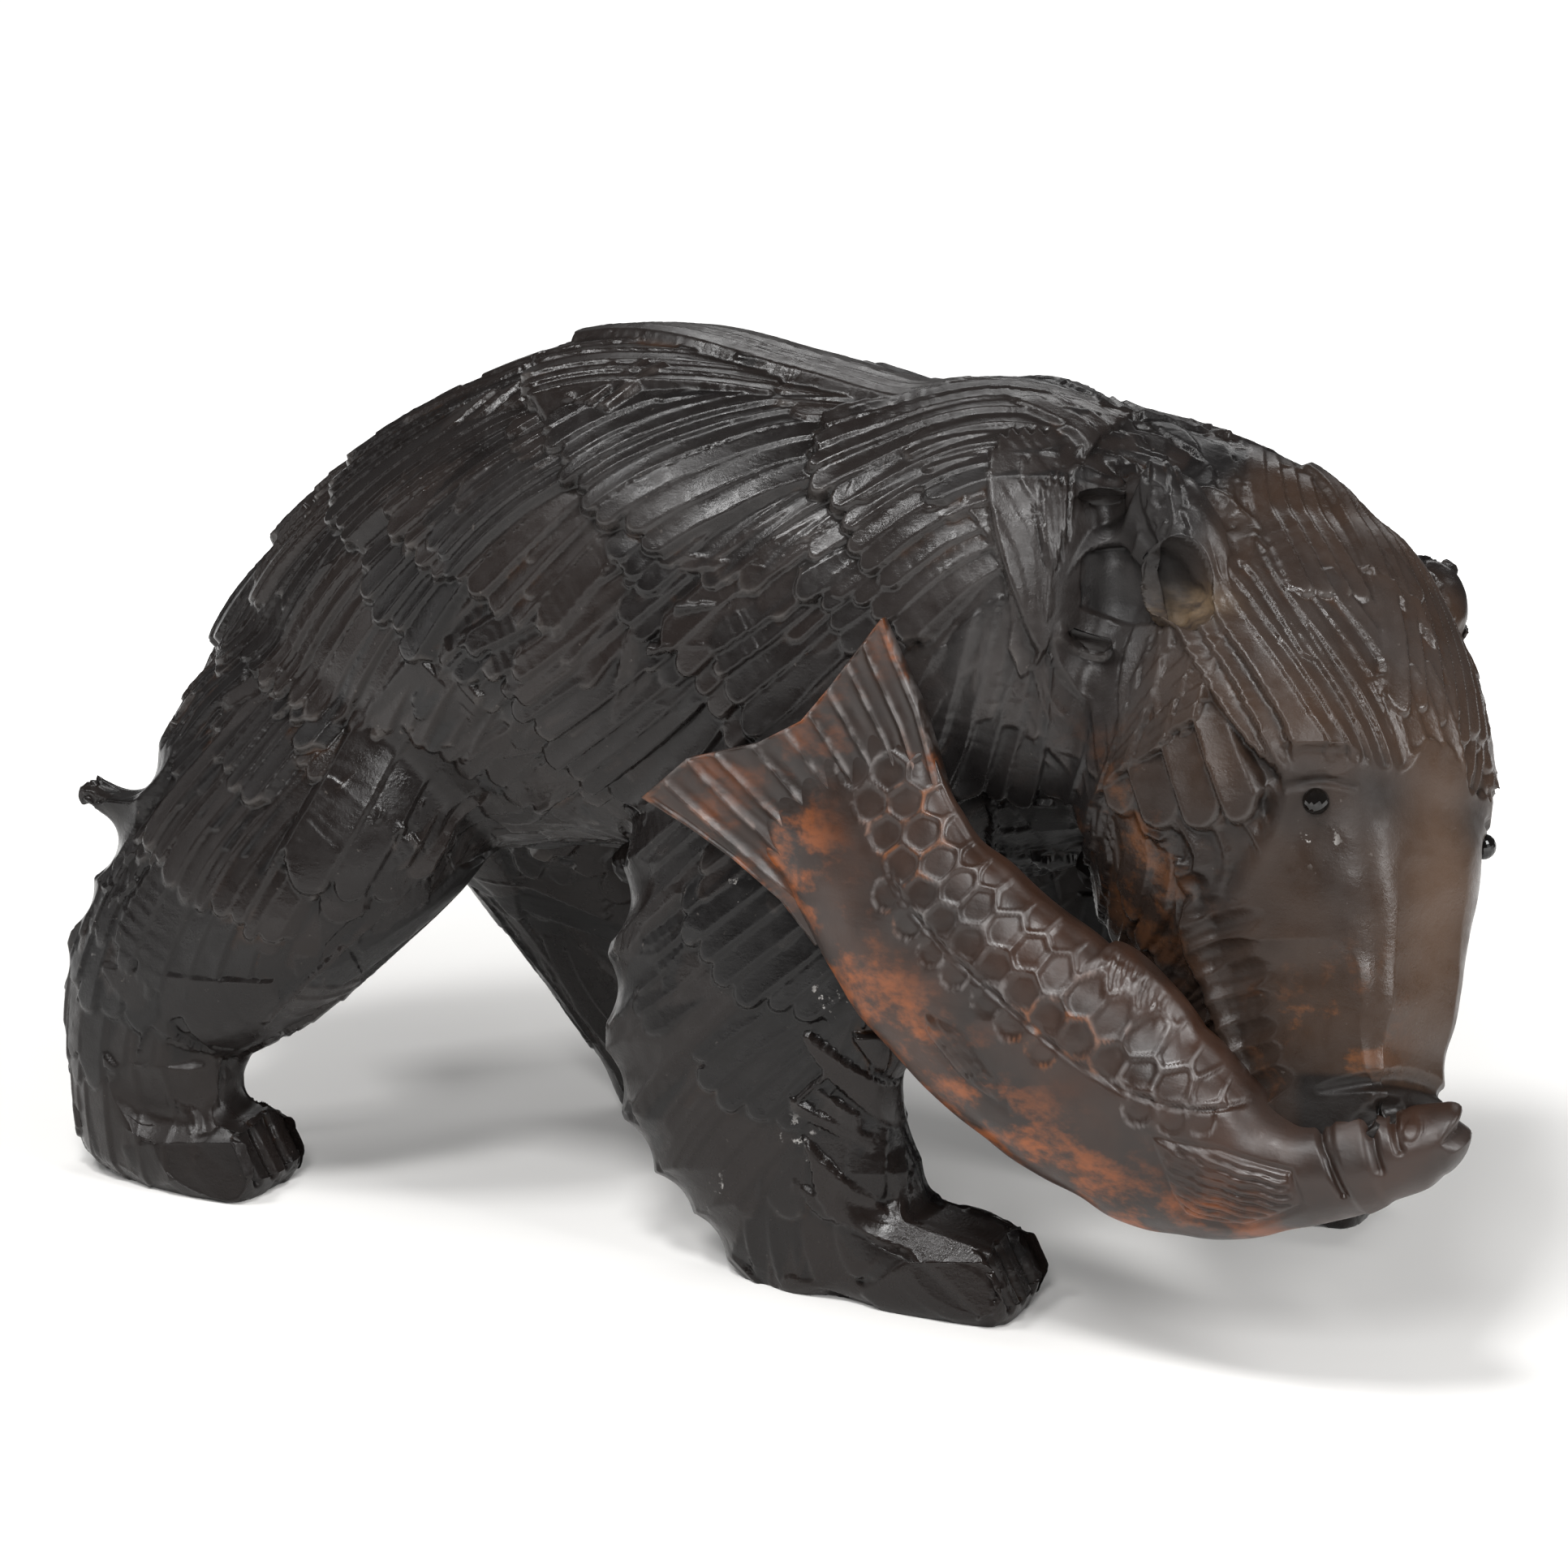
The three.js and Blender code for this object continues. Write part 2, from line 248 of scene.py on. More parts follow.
def baked(piece, name):
    """A new object holding the piece's mesh with its modifiers applied. The piece goes."""
    graph = bpy.context.evaluated_depsgraph_get()
    mesh = bpy.data.meshes.new_from_object(piece.evaluated_get(graph))
    mesh.name = name
    bpy.data.objects.remove(piece)
    done = bpy.data.objects.new(name, mesh)
    bpy.context.scene.collection.objects.link(done)
    return done


def merged(shapes):
    """The points and faces of many shapes as one."""
    points, faces, start = [], [], 0
    for p, f in shapes:
        points.append(p)
        faces += [tuple(int(i) + start for i in face) for face in f]
        start += len(p)
    return np.vstack(points), faces


def edges_of(mesh):
    flat = np.empty(len(mesh.edges) * 2, np.int32)
    mesh.edges.foreach_get("vertices", flat)
    return flat.reshape(-1, 2)


def neighbour_mean(values, edges, count):
    """Each vertex's mean over its neighbours."""
    a, b = edges[:, 0], edges[:, 1]
    share = np.bincount(a, minlength=len(values)) + np.bincount(b, minlength=len(values))
    columns = values.reshape(len(values), -1)
    for _ in range(count):
        total = np.stack(
            [
                np.bincount(a, column[b], len(values)) + np.bincount(b, column[a], len(values))
                for column in columns.T
            ],
            1,
        )
        columns = total / np.maximum(share, 1)[:, None]
    return columns.reshape(values.shape)


# ---------------------------------------------------------------- smooth noise
class Noise:
    """Smooth seeded noise in space, about -1 to 1, with the given wavelength."""

    def __init__(self, wavelength, seed, waves=14):
        r = np.random.default_rng(seed)
        self.k = unit(r.normal(size=(waves, 3))) * 2 * np.pi / (wavelength * r.uniform(0.7, 1.5, (waves, 1)))
        self.phase = r.uniform(0, 2 * np.pi, waves)
        self.size = math.sqrt(2 / waves)

    def __call__(self, points):
        return np.sin(np.asarray(points) @ self.k.T + self.phase).sum(-1) * self.size * 0.8


# ---------------------------------------------------------------- the lie of the fur
# (where, which way) for the right side and the top, in the carver's frame. The left side mirrors it.
BODY_FUR = [
    ((60, 0, 196), (-1, 0, 0)), ((20, 0, 196), (-1, 0, 0)), ((-30, 0, 200), (-1, 0, 0)),
    ((-80, 0, 180), (-0.9, 0, -0.4)), ((-120, 0, 150), (-0.7, 0, -0.7)),
    ((-150, 0, 105), (-0.3, 0, -1)), ((105, 4, 186), (-1, -0.1, 0.05)),
    ((60, -36, 172), (-0.66, -0.2, -0.7)), ((20, -40, 172), (-0.62, -0.2, -0.74)),
    ((-30, -42, 172), (-0.62, -0.2, -0.74)), ((20, -24, 188), (-0.85, -0.35, -0.3)),
    ((-30, -24, 190), (-0.85, -0.35, -0.3)), ((-80, -22, 172), (-0.75, -0.3, -0.5)),
    ((-80, -40, 150), (-0.6, -0.1, -0.8)), ((-118, -28, 125), (-0.45, -0.1, -0.9)),
    ((40, -48, 150), (-0.72, 0, -0.7)), ((0, -52, 150), (-0.72, 0, -0.7)),
    ((-45, -50, 145), (-0.66, 0, -0.75)), ((40, -48, 132), (-0.75, 0, -0.66)),
    ((0, -52, 132), (-0.75, 0, -0.66)), ((-50, -50, 125), (-0.62, 0, -0.78)),
    ((-90, -42, 110), (-0.5, 0, -0.87)), ((0, -44, 98), (-0.8, 0, -0.55)),
    ((-50, -44, 98), (-0.6, 0, -0.8)), ((-110, -58, 80), (-0.45, 0, -0.9)),
    ((-130, -60, 50), (-0.3, 0, -0.95)), ((-135, -60, 22), (-0.1, 0, -1)),
    ((-108, -50, 20), (0.9, 0, -0.3)), ((48, -50, 112), (-0.6, 0, -0.8)),
    ((25, -54, 85), (-0.75, 0, -0.66)), ((22, -55, 58), (-0.8, 0, -0.6)),
    ((30, -54, 32), (-0.5, 0, -0.85)), ((60, -50, 16), (0.6, 0, -0.7)), ((80, -45, 16), (0.9, 0, -0.4)),
    ((62, -38, 55), (-0.1, 0, -1)), ((90, -22, 184), (-1, -0.15, -0.1)),
    ((88, -36, 170), (-0.9, -0.1, -0.42)), ((88, -42, 150), (-0.7, 0, -0.72)),
    ((88, -44, 125), (-0.35, 0, -0.95)), ((85, -35, 104), (-0.1, 0, -1)), ((92, -15, 100), (0, 0, -1)),
    ((0, 0, 80), (-1, 0, 0)), ((60, 0, 86), (-1, 0, 0)),
]
# The same in the head's frame: X out of the face, Z up the forehead.
HEAD_FUR = [
    ((-40, 0, 70), (0.5, 0, -0.85)), ((-10, 0, 38), (0.3, 0, -1)), ((-4, 0, 15), (0.05, 0, -1)),
    ((-24, -14, 56), (0.55, 0.12, -0.8)), ((-20, -26, 38), (0.55, 0.42, -0.69)),
    ((-14, -32, 22), (0.55, 0.5, -0.6)), ((-40, -43, 30), (0.6, 0.25, -0.72)),
    ((-30, -42, 8), (0.75, 0.35, -0.45)), ((-45, -42, -8), (0.35, 0, -0.95)),
    ((-60, -36, 5), (-0.1, 0, -1)), ((-40, -32, -25), (-0.9, 0, -0.4)),
    ((-36, -22, -45), (-0.9, 0, -0.35)), ((-42, -38, 60), (0.3, -0.05, -0.95)),
]


def mirrored(guides):
    """The guides of the right side and their mirror images."""
    both = list(guides)
    for (x, y, z), (dx, dy, dz) in guides:
        if y != 0:
            both.append(((x, -y, z), (dx, -dy, dz)))
    return both


# the left legs stand elsewhere, so their guides are moved with them
LEFT_LEG_SHIFT = {"hind": np.array([78.0, -2.0, 0.0]), "fore": np.array([46.0, 2.0, 0.0])}


def body_guides():
    guides = []
    for where, way in mirrored(BODY_FUR):
        where = np.array(where, float)
        if where[1] > 5 and where[2] < 92:
            where = where + LEFT_LEG_SHIFT["hind" if where[0] < -60 else "fore"] * (1 - where[2] / 110)
        guides.append((where, np.array(way, float)))
    return guides


GUIDES = body_guides() + [(from_head(a), HEAD_TURN @ np.array(b, float)) for a, b in mirrored(HEAD_FUR)]
GUIDE_AT = np.array([g[0] for g in GUIDES])
GUIDE_WAY = unit(np.array([g[1] for g in GUIDES]))
GUIDE_REACH = 16.0


def fur_way(points, normals):
    """The way the fur lies at points on the surface."""
    gap = ((points[:, None] - GUIDE_AT) ** 2).sum(-1)
    weight = np.exp(-(gap - gap.min(1, keepdims=True)) / (2 * GUIDE_REACH**2))
    way = weight @ GUIDE_WAY
    way -= normals * (way * normals).sum(1, keepdims=True)
    return unit(way)


# ---------------------------------------------------------------- gouge cuts
class Surface:
    """The rough block's skin, for laying cuts on."""

    def __init__(self, mesh):
        self.points = read_points(mesh)
        self.normals = read_normals(mesh)
        self.faces = [tuple(p.vertices) for p in mesh.polygons]
        self.tree = BVHTree.FromPolygons([tuple(p) for p in self.points], self.faces)

    def nearest(self, point):
        where, normal, _, _ = self.tree.find_nearest(Vector(point))
        return np.array(where), np.array(normal)

    def trace(self, start, length, step=3.0):
        """Points and normals of a path along the fur from start."""
        p, n = self.nearest(start)
        points, normals = [p], [n]
        for _ in range(int(math.ceil(length / step))):
            p, n = self.nearest(p + fur_way(p[None], n[None])[0] * step)
            if (n @ normals[-1]) < 0.3:
                break
            points.append(p)
            normals.append(n)
        return np.array(points), np.array(normals)


def segments(path, points):
    """For each piece of a path: its number, the points from its start, its direction and length, and how
    far along it they are, once freely and once kept to it. The first and last pieces run on."""
    last = len(path) - 2
    for k in range(last + 1):
        way = path[k + 1] - path[k]
        length = np.linalg.norm(way)
        if length < 1e-6:
            continue
        way = way / length
        r = points - path[k]
        t = r @ way
        yield k, r, way, length, t, np.clip(t, -1e9 if k == 0 else 0.0, 1e9 if k == last else length)


class Carver:
    """Collects cuts as a depth under each fine vertex's own normal."""

    CELL = 6.0

    def __init__(self, points, normals):
        self.points, self.normals = points, normals
        self.depth = np.zeros(len(points))
        cells = np.floor(points / self.CELL).astype(np.int64)
        self.low = cells.min(0) - 1
        self.span = cells.max(0) - self.low + 2
        key = self.key(cells)
        self.order = np.argsort(key, kind="stable")
        self.sorted = key[self.order]

    def key(self, cells):
        c = cells - self.low
        return (c[..., 0] * self.span[1] + c[..., 1]) * self.span[2] + c[..., 2]

    def near(self, path, reach):
        r = int(math.ceil(reach / self.CELL))
        cells = np.unique(np.floor(path / self.CELL).astype(np.int64), axis=0)
        around = np.stack(np.meshgrid(*[np.arange(-r, r + 1)] * 3, indexing="ij"), -1).reshape(-1, 3)
        cells = np.unique((cells[:, None] + around).reshape(-1, 3), axis=0)
        cells = cells[((cells >= self.low) & (cells < self.low + self.span)).all(1)]
        keys = self.key(cells)
        a = np.searchsorted(self.sorted, keys, "left")
        b = np.searchsorted(self.sorted, keys, "right")
        keep = b > a
        if not keep.any():
            return np.zeros(0, int)
        return np.concatenate([self.order[i:j] for i, j in zip(a[keep], b[keep])])

    def cut(self, path, normals, depths, radius, entry=1.2, leave=14.0, reach=None, high=6.0):
        """One gouge cut along path. depths holds the cut's depth at each point of the path, radius
        is the gouge's, entry the roundness of its start and leave that of its end."""
        reach = reach or math.sqrt(2 * radius * max(depths)) + 1.5
        index = self.near(path, reach)
        if not len(index):
            return
        p, vn = self.points[index], self.normals[index]
        best = np.full(len(index), 1e9)
        value = np.full(len(index), -1e9)
        for k, r, d, length, t, inside in segments(path, p):
            on = np.clip(t, 0, length)
            r = r - inside[:, None] * d
            n = normals[k]
            h = r @ n
            side2 = (r * r).sum(1) - h * h
            over = inside - on
            depth = depths[k] + (depths[k + 1] - depths[k]) * on / length
            depth = depth - np.where(over < 0, over**2 / (2 * entry), over**2 / (2 * leave))
            depth = depth - side2 / (2 * radius)
            gap = side2 + over**2
            ok = (np.abs(h) < high) & (vn @ n > 0.15)
            better = ok & (gap < best)
            best[better] = gap[better]
            value[better] = depth[better]
        self.depth[index] = np.maximum(self.depth[index], value)


# ---------------------------------------------------------------- regions
def soft(x, low, high):
    """0 below low, 1 above high, smooth between."""
    t = np.clip((x - low) / (high - low), 0, 1)
    return t * t * (3 - 2 * t)


def headness(points):
    """1 on the head, 0 on the body."""
    q = to_head(points)
    inside = ((q - (-28, 0, 0)) / (50, 52, 84)) ** 2
    return 1 - soft(inside.sum(-1), 0.85, 1.15)


# (flute width, root depth, tip depth, flute depth, length, half width) of a lock in each place
STYLES = {
    "forehead": (4.4, 2.6, 0.6, 1.3, 60, 16),
    "throat": (6.5, 4.2, 0.7, 1.6, 24, 14),
    "cheek": (7.0, 3.4, 0.9, 1.7, 40, 15),
    "paw": (11.0, 1.6, 1.2, 0.4, 26, 15),
    "leg": (7.5, 4.6, 0.9, 1.2, 44, 17),
    "belly": (9.5, 3.8, 0.9, 1.0, 38, 16),
    "back": (4.8, 3.4, 0.9, 0.9, 64, 16),
    "ruff": (5.6, 5.0, 0.6, 1.0, 52, 20),
    "flank": (5.4, 5.2, 0.7, 1.05, 56, 22),
}
BARE_HEIGHT = -5.5  # where no lock lies
DEEPEST = -4.8  # no cut between the locks is deeper
LOCK_CELL = 12.0  # edge of the cells in which the locks already laid are looked up
# the locks lie in two layers: (gap along by length, gap across by half width, size, height)
LAYERS = [(0.40, 0.95, 0.85, -1.5), (0.62, 1.55, 1.2, 0.0)]


def place_of(p, n):
    """The style that the carver uses at p, or None where no lock starts."""
    q = to_head(p)
    if headness(p) > 0.5:
        if q[2] < 4 and q[0] > -34 and abs(q[1]) < 20:
            return None
        if q[2] > 8 and (n @ HEAD_TURN)[1] ** 2 < 0.72:
            return "forehead"
        return "throat" if q[2] < -12 else "cheek"
    x, y, z = p
    if z < 24 and any(toe - 30 < x for toe, side in PAW_TOES if abs(x - toe) < 40 and abs(y - side) < 24):
        return "paw"
    if z < 78 and abs(y) > 12:
        return "leg"
    if -75 < x < 12 and z < 112:
        return "belly"
    if n[2] > 0.75:
        return "back"
    return "ruff" if x > 50 else "flank"


class Lock:
    """One lock of fur: a tongue of side by side flutes, proud at its tip."""

    def __init__(self, surface, start, style, size):
        width, root, tip, flute, length, half = style
        self.root = root * rng.uniform(0.85, 1.15)
        self.tip = tip * rng.uniform(0.3, 1.6)
        length *= size * rng.uniform(0.8, 1.25)
        half *= size * rng.uniform(0.7, 1.3)
        self.path, self.normals = surface.trace(start, length)
        self.ok = len(self.path) > 3
        count = max(2, int(round(2 * half / width)))
        share = rng.uniform(0.75, 1.3, count)
        self.edges = np.concatenate([[0], np.cumsum(share)]) / share.sum() * 2 * half - half
        self.flute = flute * rng.uniform(0.55, 1.5, count)
        self.tilt = rng.uniform(-2.0, 2.0)
        ragged = rng.uniform(-2.6, 2.6, count)
        self.ragged = ragged + rng.uniform(-0.35, 0.35) * np.linspace(-half, half, count)
        self.fan = rng.uniform(-0.05, 0.32)
        self.half = half
        self.steep = rng.uniform(1.4, 2.4)
        self.wave, self.phase = rng.uniform(7, 14), rng.uniform(0, 6.28)
        self.tone = rng.uniform(0, 1)
        middle = min(len(self.path) // 2, len(self.path) - 2)
        side = np.cross(self.normals[middle], self.path[middle + 1] - self.path[middle])
        self.down = 1.0 if side[2] < 0.1 else -1.0

    def height(self, u, w):
        """(height over the uncut skin, worn edge) at u along and w across. The worn edges, at the tip and
        along the proud side, are also painted lighter as a highlight.
        """
        length = self.length
        share = u / length
        w = w / (1 + self.fan * (np.clip(share, 0, 1.2) - 0.5)) + 0.5 * np.sin(u / self.wave + self.phase)
        i = np.clip(np.searchsorted(self.edges, w) - 1, 0, len(self.flute) - 1)
        middle = (self.edges[i] + self.edges[i + 1]) / 2
        half = (self.edges[i + 1] - self.edges[i]) / 2
        x = np.clip((w - middle) / half, -1, 1)
        end = length - 1.5 * x * x * half / 2 - self.ragged[i] - 4.0 * (w / self.half) ** 2
        rise = np.clip(share, 0, 1)
        h = -self.root + (self.root - self.tip) * rise**1.2
        # each cut leans, so its lower edge stands proud of the next one, with a little hollow
        lean = ((x * self.down + 1) / 2) ** 1.25
        drop = soft(x * self.down, 0.78, 1.0)
        board = lean * (1 - drop) - 1 - 0.18 * (1 - x * x)
        h = h + self.tilt * np.clip(w / self.half, -1.1, 1.1)
        h = h + self.flute[i] * board * np.clip(0.45 + 1.0 * share, 0.4, 1)
        # the tip and the proud edge of each cut: worn, and painted lighter as a highlight
        wear_and_highlight = np.exp(-np.maximum(end - u, 0) / 1.3) + 0.5 * soft(x * self.down, 0.45, 0.8) * (1 - drop)
        h = h - self.steep * np.maximum(u - end, 0) - 1.1 * np.maximum(np.abs(w) - self.half, 0)
        return h - 1.2 * np.maximum(-u, 0), wear_and_highlight


def flat_coordinates(points, vertex_normals, path, normals, high=7.0):
    """Along, across and whether on this side, for points about a path on the skin."""
    best = np.full(len(points), 1e9)
    along, across = np.zeros(len(points)), np.full(len(points), 1e3)
    gone = 0.0
    for k, r, d, length, t, inside in segments(path, points):
        n = unit(normals[k] + normals[k + 1])
        w = r @ np.cross(n, d)
        h = r @ n
        gap = (t - inside) ** 2 + w * w
        ok = (np.abs(h) < high) & (vertex_normals @ n > 0.1) & (gap < best)
        best[ok] = gap[ok]
        along[ok] = gone + inside[ok]
        across[ok] = w[ok]
        gone += length
    return along, across, gone


def carve_fur(surface, carver):
    """Height of the fur over the rough skin at each fine vertex: the highest of all the locks."""
    fur = {
        "height": np.full(len(carver.points), BARE_HEIGHT),
        "tone": np.full(len(carver.points), 0.3),
        "wear_and_highlight": np.zeros(len(carver.points)),
    }
    for layer in LAYERS:
        lay_locks(surface, carver, fur, *layer)
    return fur


def lay_locks(surface, carver, fur, along_share, side_share, size, sink):
    """Lays locks in a random order wherever no earlier lock is too near, and keeps the highest."""
    taken = {}
    for i in rng.permutation(len(surface.points)):
        p, n = surface.points[i], surface.normals[i]
        place = None if p[2] < 4 or n[2] < -0.93 else place_of(p, n)
        if place is None:
            continue
        style = STYLES[place]
        way = fur_way(p[None], n[None])[0]
        side = np.cross(n, way)
        along_gap, side_gap = style[4] * along_share * size, style[5] * side_share * size
        here = tuple(int(c // LOCK_CELL) for c in p)
        reach = int(math.ceil(max(along_gap, side_gap) / LOCK_CELL))
        around = itertools.product(*(range(c - reach, c + reach + 1) for c in here))
        near = [lock for key in around if key in taken for lock in taken[key]]
        if near:
            gaps = np.array([q for q, _ in near]) - p
            facing = np.array([on for _, on in near]) @ n > 0.2
            if (facing & ((gaps @ way / along_gap) ** 2 + (gaps @ side / side_gap) ** 2 < 1)).any():
                continue
        taken.setdefault(here, []).append((p, n))
        lock = Lock(surface, p - way * style[4] * size * 0.25, style, size)
        index = carver.near(lock.path, lock.half * 1.25 + 4) if lock.ok else ()
        if not len(index):
            continue
        u, w, lock.length = flat_coordinates(
            carver.points[index], carver.normals[index], lock.path, lock.normals
        )
        h, wear_and_highlight = lock.height(u, w)
        h[w > 900] = -99
        better = h + sink > fur["height"][index]
        index = index[better]
        fur["height"][index] = h[better] + sink
        fur["tone"][index] = lock.tone
        fur["wear_and_highlight"][index] = wear_and_highlight[better]


# ---------------------------------------------------------------- single cuts
def line_cut(surface, carver, points, depths, radius, entry=1.5, leave=1.5, step=2.0, reach=None, high=6.0):
    """One gouge cut that follows the skin from point to point. depths are spread evenly along it."""
    points = np.asarray(points, float)
    legs = np.linalg.norm(np.diff(points, axis=0), axis=1)
    at = np.concatenate([[0], np.cumsum(legs)])
    s = np.linspace(0, at[-1], max(3, int(at[-1] / step) + 1))
    dense = np.stack([np.interp(s, at, points[:, k]) for k in range(3)], 1)
    found = [surface.nearest(p) for p in dense]
    path = np.array([f[0] for f in found])
    normals = np.array([f[1] for f in found])
    depth = np.interp(s, np.linspace(0, at[-1], len(depths)), depths)
    carver.cut(path, normals, depth, radius, entry=entry, leave=leave, reach=reach, high=high)


def scoops(surface, carver):
    """The deep scoops whose ridges make the pointed fringe behind the legs."""
    fringe = [
        # right foreleg, from the middle of the leg to the rear edge
        [(10, -58, 98), (-6, -52, 86), (-17, -38, 75)],
        [(14, -60, 80), (-4, -54, 68), (-19, -38, 54)],
        [(12, -60, 58), (-4, -54, 47), (-17, -38, 34)],
        [(18, -58, 42), (4, -54, 32), (-12, -38, 21)],
        [(28, -56, 34), (14, -54, 22), (-2, -38, 12)],
        [(36, -55, 26), (24, -54, 15), (6, -38, 6)],
        # right hind leg
        [(-128, -58, 110), (-138, -48, 98), (-143, -30, 86)],
        [(-128, -62, 92), (-142, -54, 82), (-147, -36, 73)],
        [(-136, -60, 74), (-150, -54, 66), (-156, -36, 58)],
        [(-140, -60, 56), (-154, -54, 48), (-161, -36, 40)],
        [(-140, -60, 40), (-154, -54, 32), (-162, -36, 24)],
        [(-140, -60, 24), (-153, -54, 17), (-160, -36, 10)],
    ]
    for points in fringe:
        line_cut(surface, carver, points, [2.6, 5.0, 7.4], 11.0, entry=6, leave=40, reach=11)
    for points in [
        [(44, 66, 70), (34, 56, 62), (30, 40, 54)],
        [(46, 66, 90), (36, 54, 82), (30, 38, 74)],
        [(60, 66, 50), (52, 58, 42), (46, 44, 34)],
        [(-84, 62, 78), (-96, 54, 70), (-100, 40, 62)],
        [(-78, 60, 58), (-86, 54, 50), (-92, 40, 42)],
        [(-66, 60, 38), (-76, 54, 30), (-82, 42, 22)],
    ]:
        line_cut(surface, carver, points, [1.0, 3.0, 4.6], 11.0, entry=6, leave=40, reach=11)


def claws(surface, carver):
    """V grooves between the toes of the four paws."""
    for toe, y in PAW_TOES:
        for k in (-1.5, -0.5, 0.5, 1.5):
            side = y + k * 7
            points = [(toe - 18, side - 2, 24), (toe - 8, side, 18), (toe + 1, side + 2, 3)]
            line_cut(surface, carver, points, [2.0, 4.6, 5.0], 0.9, entry=20, reach=3.5, high=9)


def nose(surface, carver):
    """The edge of the nose pad and the nostrils."""
    half = [(-13, 17, -56), (-3, 12, -53.5), (2, 6, -52)]
    edge = [(x, -y, z) for x, y, z in half] + [(2, 0, -51.5)] + half[::-1]
    line_cut(surface, carver, from_head(edge), [2.6, 3.8, 3.8, 3.8, 2.6], 1.3, reach=3)
    for side in (-1, 1):
        slit = [(1, side * 5, -58), (0, side * 8.5, -59), (-4, side * 12, -62)]
        line_cut(surface, carver, from_head(slit), [3.5, 5.6, 4.0], 1.6, entry=1, leave=3, reach=3.5)
        lid = [(-4, side * 20.5, 3.5), (-9, side * 25.5, 4.6), (-15, side * 30, 2.0)]
        line_cut(surface, carver, from_head(lid), [2.6, 3.4, 2.6], 1.0, reach=2.5)


# ---------------------------------------------------------------- shaping before the fur
def dish(points, normals, centre, axes, radii, depth, facing=0.15):
    """Sinks an elliptical hollow. axes holds the hollow's right, up and outward directions."""
    r = points - centre
    right, up, out = (unit(a) for a in axes)
    m = (r @ right / radii[0]) ** 2 + (r @ up / radii[1]) ** 2
    near = (np.abs(r @ out) < radii[2]) & (normals @ out > facing)
    amount = np.where(near, depth * np.maximum(1 - m, 0) ** 0.7, 0.0)
    return points - out * amount[:, None]


def plane_cut(q, where, out, inside):
    """Planes off what stands out beyond a flat, where inside is 1."""
    out = unit(out)
    beyond = np.maximum((q - where) @ out, 0.0)
    return q - out * (beyond * inside)[:, None]


def shape_muzzle(points):
    """The flats of the face, in the head's frame: bridge, both sides, nose tip and underside."""
    q = to_head(points)
    below_brow = 1 - soft(q[:, 2], 9, 10.5)
    # a flat on each side twists from the hollow that holds the eye into the side of the muzzle
    down = soft(-q[:, 2], 3, 34)
    at_eye = 14.7 - 1.104 * (q[:, 0] - 3.4)
    at_muzzle = 15.8 + 0.136 * (q[:, 2] + 30) - 0.283 * q[:, 0]
    over = np.maximum(np.abs(q[:, 1]) - at_eye * (1 - down) - at_muzzle * down, 0)
    over *= below_brow * soft(q[:, 0], -40, -26) * soft(q[:, 2], -76, -72)
    out = unit(np.stack([0.74 - 0.47 * down, 0.67 + 0.285 * down], 1))
    q[:, 0] -= over * out[:, 0] * out[:, 1]
    q[:, 1] -= np.sign(q[:, 1]) * over * out[:, 1] ** 2
    bridge = (1 - soft(q[:, 2], 6, 12)) * soft(q[:, 2], -90, -80)
    q = plane_cut(q, (1.9, 0, -20), (1, 0, -0.01), bridge * soft(q[:, 0], -30, -20))
    # the bridge dips before the nose pad, and the pad's front leans back
    dip = np.exp(-(((q[:, 2] + 47) / 6) ** 2)) * soft(q[:, 0], -14, -2)
    q[:, 0] -= 1.8 * dip
    q = plane_cut(q, (2.0, 0, -62), (0.8, 0, -0.6), bridge * soft(q[:, 0], -30, -20))
    return from_head(q)


PAW_TOES = ((89.5, -39), (-95.5, -47), (136.5, 52), (0.5, 45))


def shape_paws(points):
    """Flat toe fronts, tops and outer sides on the four paws."""
    for toe, y in PAW_TOES:
        near = soft(points[:, 0], toe - 42, toe - 30) * (1 - soft(points[:, 0], toe + 8, toe + 12))
        near *= (1 - soft(np.abs(points[:, 1] - y), 18, 24)) * (1 - soft(points[:, 2], 24, 30))
        points = plane_cut(points, (toe, y, 2.0), (0.91, 0, 0.41), near)
        points = plane_cut(points, (toe - 9, y, 20.0), (0.16, 0.1 * np.sign(y), 1), near)
        for side in (-1, 1):
            points = plane_cut(points, (toe - 8, y + side * 14.5, 8.0), (0.22, side, 0.18), near)
            points = plane_cut(points, (toe - 8, y + side * 10.5, 18.5), (0.1, side * 0.7, 0.7), near)
    return points


def shape_details(points, normals):
    """The flats of the paws and the face, and the hollow of each ear."""
    x_out, y_left, z_up = HEAD_TURN.T
    points = shape_muzzle(shape_paws(points))
    for side in (-1, 1):
        ear = from_head((-41, side * 39.5, 45))
        out = unit(x_out * 0.9 + y_left * side * 0.55 - z_up * 0.05)
        up = unit(z_up + y_left * side * 0.35)
        points = dish(points, normals, ear, (np.cross(up, out), up, out), (4.6, 8.0, 13), 7.5)
    return points


